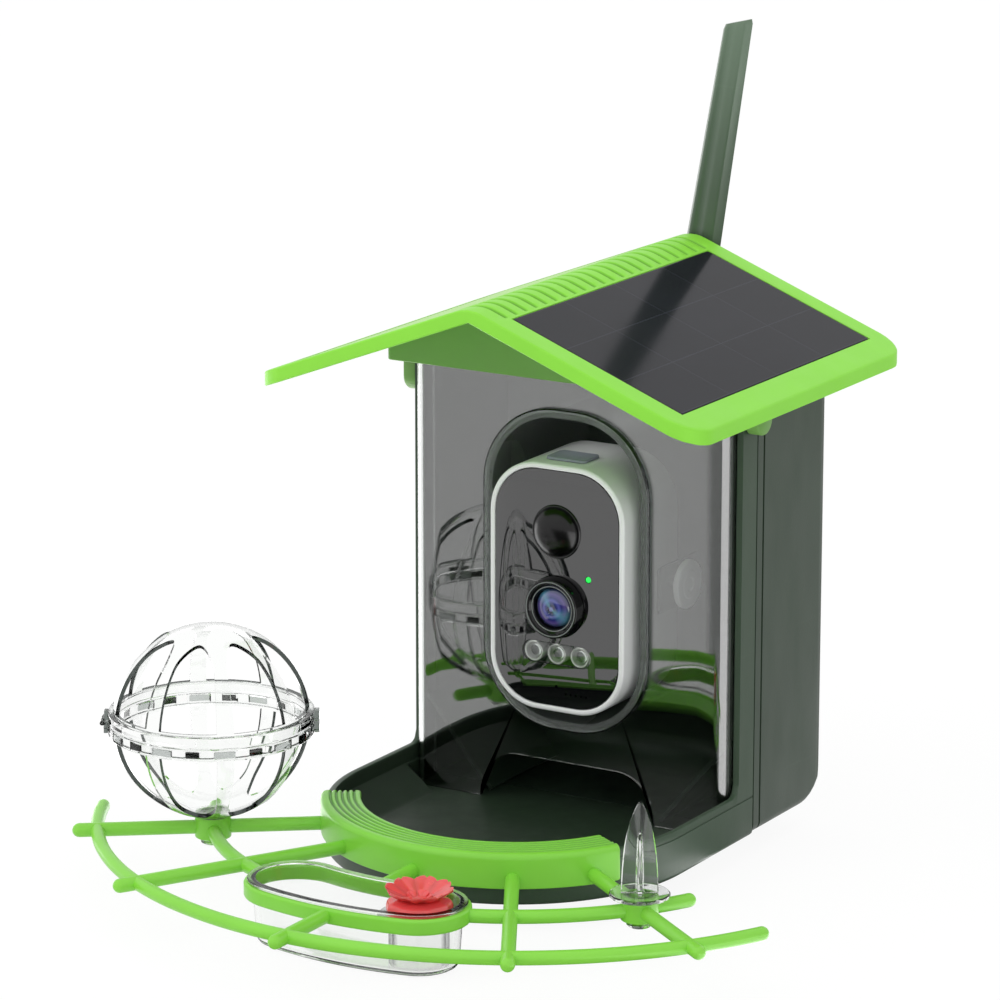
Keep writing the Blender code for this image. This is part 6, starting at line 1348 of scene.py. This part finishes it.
# The edge and rim tints are painted shade for the cage's dark outlines.
ball_clear = clear_plastic("clear_ball_plastic", srgb(253, 254, 253), 1.42, flow=0.01, flow_scale=120,
                           edge=srgb(48, 54, 52), start=0.70, rim=srgb(80, 86, 83))
plug = rounded_path([(PLUG_COLLAR, PLUG_TOP + 0.0004), (PLUG_COLLAR, PLUG_TOP), (PLUG_R, PLUG_TOP),
                     (PLUG_R, PLUG_FOOT), (0, PLUG_FOOT)], (0, 0, 0, 0.0012, 0), 4)
plug = turned_shell(np.concatenate(([(0, PLUG_TOP + 0.0006)], plug)), 40, BALL_AT)
# The catches' grey tint is a painted shade, for the dark look of solid clear blocks at the band's ends.
catch_painted_shade = clear_plastic("clear_catches_painted_shade", srgb(120, 126, 123), 1.4, flow=0.02, flow_scale=120)
for side, body, word, more, hinge_half, barrels in (
        (-1, "ball", "lower", [plug], 0.0054, ((-0.0055, -0.0022), (0.0022, 0.0055))),
        (1, "ball_lid", "upper", [], 0.0018, ((-0.0018, 0.0018),))):
    new_piece("cage_" + word, [cage_half(side), band_half(side), *more], ball_clear, body,
              ["ball_" + word], crease=38, rims=(0,))
    blocks = [catch(side, HINGE_BACK, hinge_half, HINGE_HIGH, HINGE_TURN),
              catch(side, CLASP_OUT, CLASP_HALF, CLASP_HIGH, HINGE_TURN + 180)]
    new_piece("cage_catches_" + word, blocks + [hinge_barrel(*ends) for ends in barrels], catch_painted_shade, body,
              crease=38)
for name, finish, tint, ior, half, first in (
        ("cage_band_plates", "smoked_band_plate", srgb(30, 33, 31), 1.45, NARROW_PLATE, 0),
        ("cage_band_pale_plates", "pale_band_plate", srgb(196, 200, 198), 1.3, WIDE_PLATE, 180 / PLATES)):
    plates = [band_block(PLATE_BACK, PLATE_FRONT, half, PLATE_LOW, PLATE_HIGH, degrees, PLATE_CORNER)
              for degrees in PLATE_TURN + first + np.arange(PLATES) * 360 / PLATES]
    new_piece(name, plates, clear_plastic(finish, tint, ior, flow=0.02, flow_scale=120), "ball")
finish_cad(ball_clear, "ball_hinge_pin")


# Fruit spike: a clear pointed blade, crossed by a smaller one round a slim core, on a round foot that plugs
# into the right socket.
SPIKE_AT = about_tray(INNER_ARC, SOCKET_TURN, 0.018)
SPIKE_R, SPIKE_TALL, SPIKE_SHEET, SPIKE_EDGE, SPIKE_THIN = 0.0078, 0.041, 0.0018, 0.0004, 0.0001
SPIKE_CORE, SPIKE_FOOT_R, SPIKE_FOOT, SPIKE_PLUG = 0.0017, 0.0128, 0.0018, 0.0130


def ogive(share):
    """Half the spike's width at a share of its height."""
    return SPIKE_R * np.sqrt(np.maximum(1 - share ** 2, 0)) * (1 - share ** 6 / 2)


# The edge tint is a painted shade for the spike's dark outlines.
spike_clear = clear_plastic("clear_spike_plastic", srgb(252, 253, 252), 1.42, flow=0.01, flow_scale=90,
                            edge=srgb(96, 104, 100), start=0.86)
shares = np.concatenate((np.linspace(0, 0.9, 14), (0.95, 0.98, 0.995)))
right = np.stack((ogive(shares), SPIKE_TALL * shares), -1)
right[0, 1] = SPIKE_FOOT / 2
outline = np.concatenate((right, (right * mirror)[::-1]))
half = np.abs(outline[:, :1])
shells = []
for degrees, wide, tall in ((31, 1, 1), (121, 0.55, 0.66)):
    loops = [on_plane(outline * (wide, tall) * ((half - edge).clip(SPIKE_THIN) / half.clip(SPIKE_THIN)),
                      across * SPIKE_SHEET / 2, "XZ")
             for edge, across in ((SPIKE_EDGE, -1), (0, -0.6), (0, 0.6), (SPIKE_EDGE, 1))]
    shells.append(swept(spun(np.array(loops), degrees) + SPIKE_AT))
core = [(0, 0.0285), (0.0004, 0.0283), (0.0009, 0.0275), (0.0012, 0.0255), (SPIKE_CORE, 0.012),
        (SPIKE_CORE, SPIKE_FOOT + 0.0008), (SPIKE_CORE + 0.0008, SPIKE_FOOT),
        (SPIKE_FOOT_R - 0.0005, SPIKE_FOOT), (SPIKE_FOOT_R, SPIKE_FOOT - 0.0005), (SPIKE_FOOT_R, 0.0004),
        (SPIKE_FOOT_R - 0.0004, 0), (PLUG_R, 0), (PLUG_R, 0.0010 - SPIKE_PLUG),
        (PLUG_R - 0.0010, -SPIKE_PLUG), (0, -SPIKE_PLUG)]
shells.append(turned_shell(core, 48, SPIKE_AT))
new_piece("spike_piece", shells, spike_clear, "spike", ["fruit_spike"], crease=35)


# Nectar cup: a clear bent cup that hangs in the perch's ring by its lip, with a thin round well at its
# right end that the flower stands on.
CUP_HALF, CUP_LIP_HALF, CUP_DRAFT, CUP_SHEET = 0.0186, 0.0205, 0.0020, 0.0017
CUP_LIP_LOW, CUP_LIP_HIGH, CUP_FOOT, CUP_MIDDLE = 0.0165, 0.0176, -0.0105, 0.006
WELL_AT = about_tray(INNER_ARC, RING_TURN, 0)
WELL_R, WELL_IN, SHELF_R, SHELF_TOP, SHELF_UNDER = 0.0127, 0.0112, 0.0172, 0.0115, 0.0100
WELL_SHADE = srgb(30, 35, 32)
# The edge tint is a painted shade for the cup's dark outlines.
cup_clear = clear_plastic("clear_cup_plastic", srgb(252, 253, 252), 1.36, flow=0.01, flow_scale=60,
                          edge=srgb(84, 92, 88), start=0.82)
foot_half, cup_floor = CUP_HALF - CUP_DRAFT, CUP_FOOT + CUP_SHEET
profile = rounded_path([(CUP_MIDDLE, CUP_FOOT), (foot_half, CUP_FOOT), (CUP_HALF, CUP_LIP_LOW),
                        (CUP_LIP_HALF, CUP_LIP_LOW), (CUP_LIP_HALF, CUP_LIP_HIGH),
                        (CUP_HALF - CUP_SHEET, CUP_LIP_HIGH), (foot_half - CUP_SHEET, cup_floor),
                        (CUP_MIDDLE, cup_floor)],
                       (0, 0.0026, 0.0002, 0.0004, 0.0004, 0.0004, 0.0012, 0), 4)


def thin_clear(name):
    """A thin clear wall inside another. Light goes straight through it, and it shows as a dark line only
    where the wall is seen edge on, with a weak gloss."""
    finish, tree, shader = new_finish(name)
    flow = textured(tree, 120, 2)
    set_sockets(tree, shader, {"Base Color": tinted(tree, WELL_SHADE, flow, 0.9, 1.1),
                               "Roughness": ranged(tree, flow, 0.06, 0.12)})
    share = spread_over(tree, add(tree, "LayerWeight").outputs["Facing"], 0.42, 1, 0.03, 0.92)
    surface = mix_shaders(tree, share, add(tree, "BsdfTransparent"), shader)
    set_sockets(tree, tree.nodes["Material Output"], {"Surface": surface})
    return finish


cup = swept(np.array([on_plane(kidney(half), height, "XY") for half, height in profile]), "fan",
            *[about_tray(INNER_ARC, 0, height) for height in (CUP_FOOT, cup_floor)])
well_foot = cup_floor - 0.0001
well = rounded_path([(WELL_IN, SHELF_TOP), (SHELF_R, SHELF_TOP), (SHELF_R, SHELF_UNDER),
                     (WELL_R, SHELF_UNDER), (WELL_R, well_foot), (WELL_IN, well_foot)],
                    (0.0004, 0, 0, 0.0005, 0, 0), 4, True)
new_piece("nectar_cup", [cup], cup_clear, "trough", ["nectar_trough"], crease=40)
new_piece("nectar_cup_well", [turned_shell(well, 64, WELL_AT, ends="ring")], thin_clear("clear_well_plastic"),
          "trough", crease=40)


# Flower: soft red plastic, a flared bulb with shallow folds that sits on the cup's shelf under a row of
# round petals and a small inner row, to draw small birds to the nectar.
FLOWER_AT = about_tray(INNER_ARC, RING_TURN, 0.0118)
BULB_R, BULB_TALL, STEM_R, STEM_DEEP = 0.0146, 0.0066, 0.0100, 0.004
FOLDS, FOLD_DEEP, FOLD_TURN, FOLD_FROM = 9, 0.028, 0.6, 0.003
PETAL_SHEET, PETAL_ROOT, PETAL_SHOULDER, PETAL_CREASE = 0.0013, 0.0026, 0.66, 0.0004
FLOWER_RED = srgb(238, 84, 86)


def petal_row(count, turn_from, reach, half_width, base, lift, curl, cup_up):
    """A row of petals. Each is a sheet over a share along it and a share across: it widens to two thirds of
    its length, closes in a half ellipse, rises by its lift, bends by its curl and cups at its sides."""
    along, across = np.meshgrid(1 - (1 - np.linspace(0, 1, 15)) ** 1.5, np.linspace(-1, 1, 13), indexing="ij")
    round_tip = np.sqrt(np.clip(1 - ((along - PETAL_SHOULDER) / 0.345) ** 2, 0, 1))
    widening = 0.36 + 0.64 * (np.minimum(along, PETAL_SHOULDER) / PETAL_SHOULDER) ** 0.8
    side = half_width * np.where(along > PETAL_SHOULDER, round_tip, widening) * across
    height = base + lift * along + curl * along ** 3 + cup_up * np.abs(across) * along
    crease = PETAL_CREASE * np.exp(-(across / 0.25) ** 2) * np.sin(np.pi * along)
    thin = PETAL_SHEET * (1 - 0.6 * along ** 2) * (1 - 0.5 * across ** 2)
    top = np.stack((PETAL_ROOT + (reach - PETAL_ROOT) * along, side, height - crease), -1).reshape(-1, 3)
    low = top - on_plane(np.zeros((thin.size, 2)), thin.ravel(), "XY")
    return [thickened(*[spun(face, turn) + FLOWER_AT for face in (top, low)], linked(15, 13))
            for turn in np.degrees(turn_from) + np.arange(count) * 360 / count]


petal_red = moulded("soft_red_plastic", FLOWER_RED, 0.24, cloud=0.06, grain=500, grain_depth=0.06, IOR=1.6,
                    **{"Subsurface Weight": 0.25, "Subsurface Radius": (0.004, 0.0012, 0.001),
                       "Subsurface Scale": 1.0})
bulb = rounded_path([(0, -STEM_DEEP), (STEM_R, -STEM_DEEP), (STEM_R, 0), (BULB_R - 0.0016, 0),
                     (BULB_R, 0.0024), (BULB_R - 0.0012, 0.0056), (0.0096, BULB_TALL), (0, BULB_TALL)],
                    (0, 0.0006, 0, 0.0010, 0.0032, 0.0022, 0.0006, 0), 6)
bulb_points, *bulb_faces = turned_shell(bulb, 144, (0, 0, 0))
spin = np.arctan2(bulb_points[:, 1], bulb_points[:, 0])
fold = 1 + FOLD_DEEP * (np.cos(FOLDS * spin + FOLD_TURN) - 1) * np.clip(bulb_points[:, 2] / FOLD_FROM, 0, 1)
bulb_points[:, :2] *= fold[:, None]
flower = [(bulb_points + FLOWER_AT, *bulb_faces)]
flower += petal_row(8, 0.33, 0.0144, 0.0053, 0.0060, 0.0050, -0.0002, 0.0010)
flower += petal_row(5, 0.45, 0.0054, 0.0026, 0.0064, 0.0020, -0.0002, 0.0005)
new_piece("flower_piece", flower, petal_red, "feeding_flower", ["flower"], crease=60)
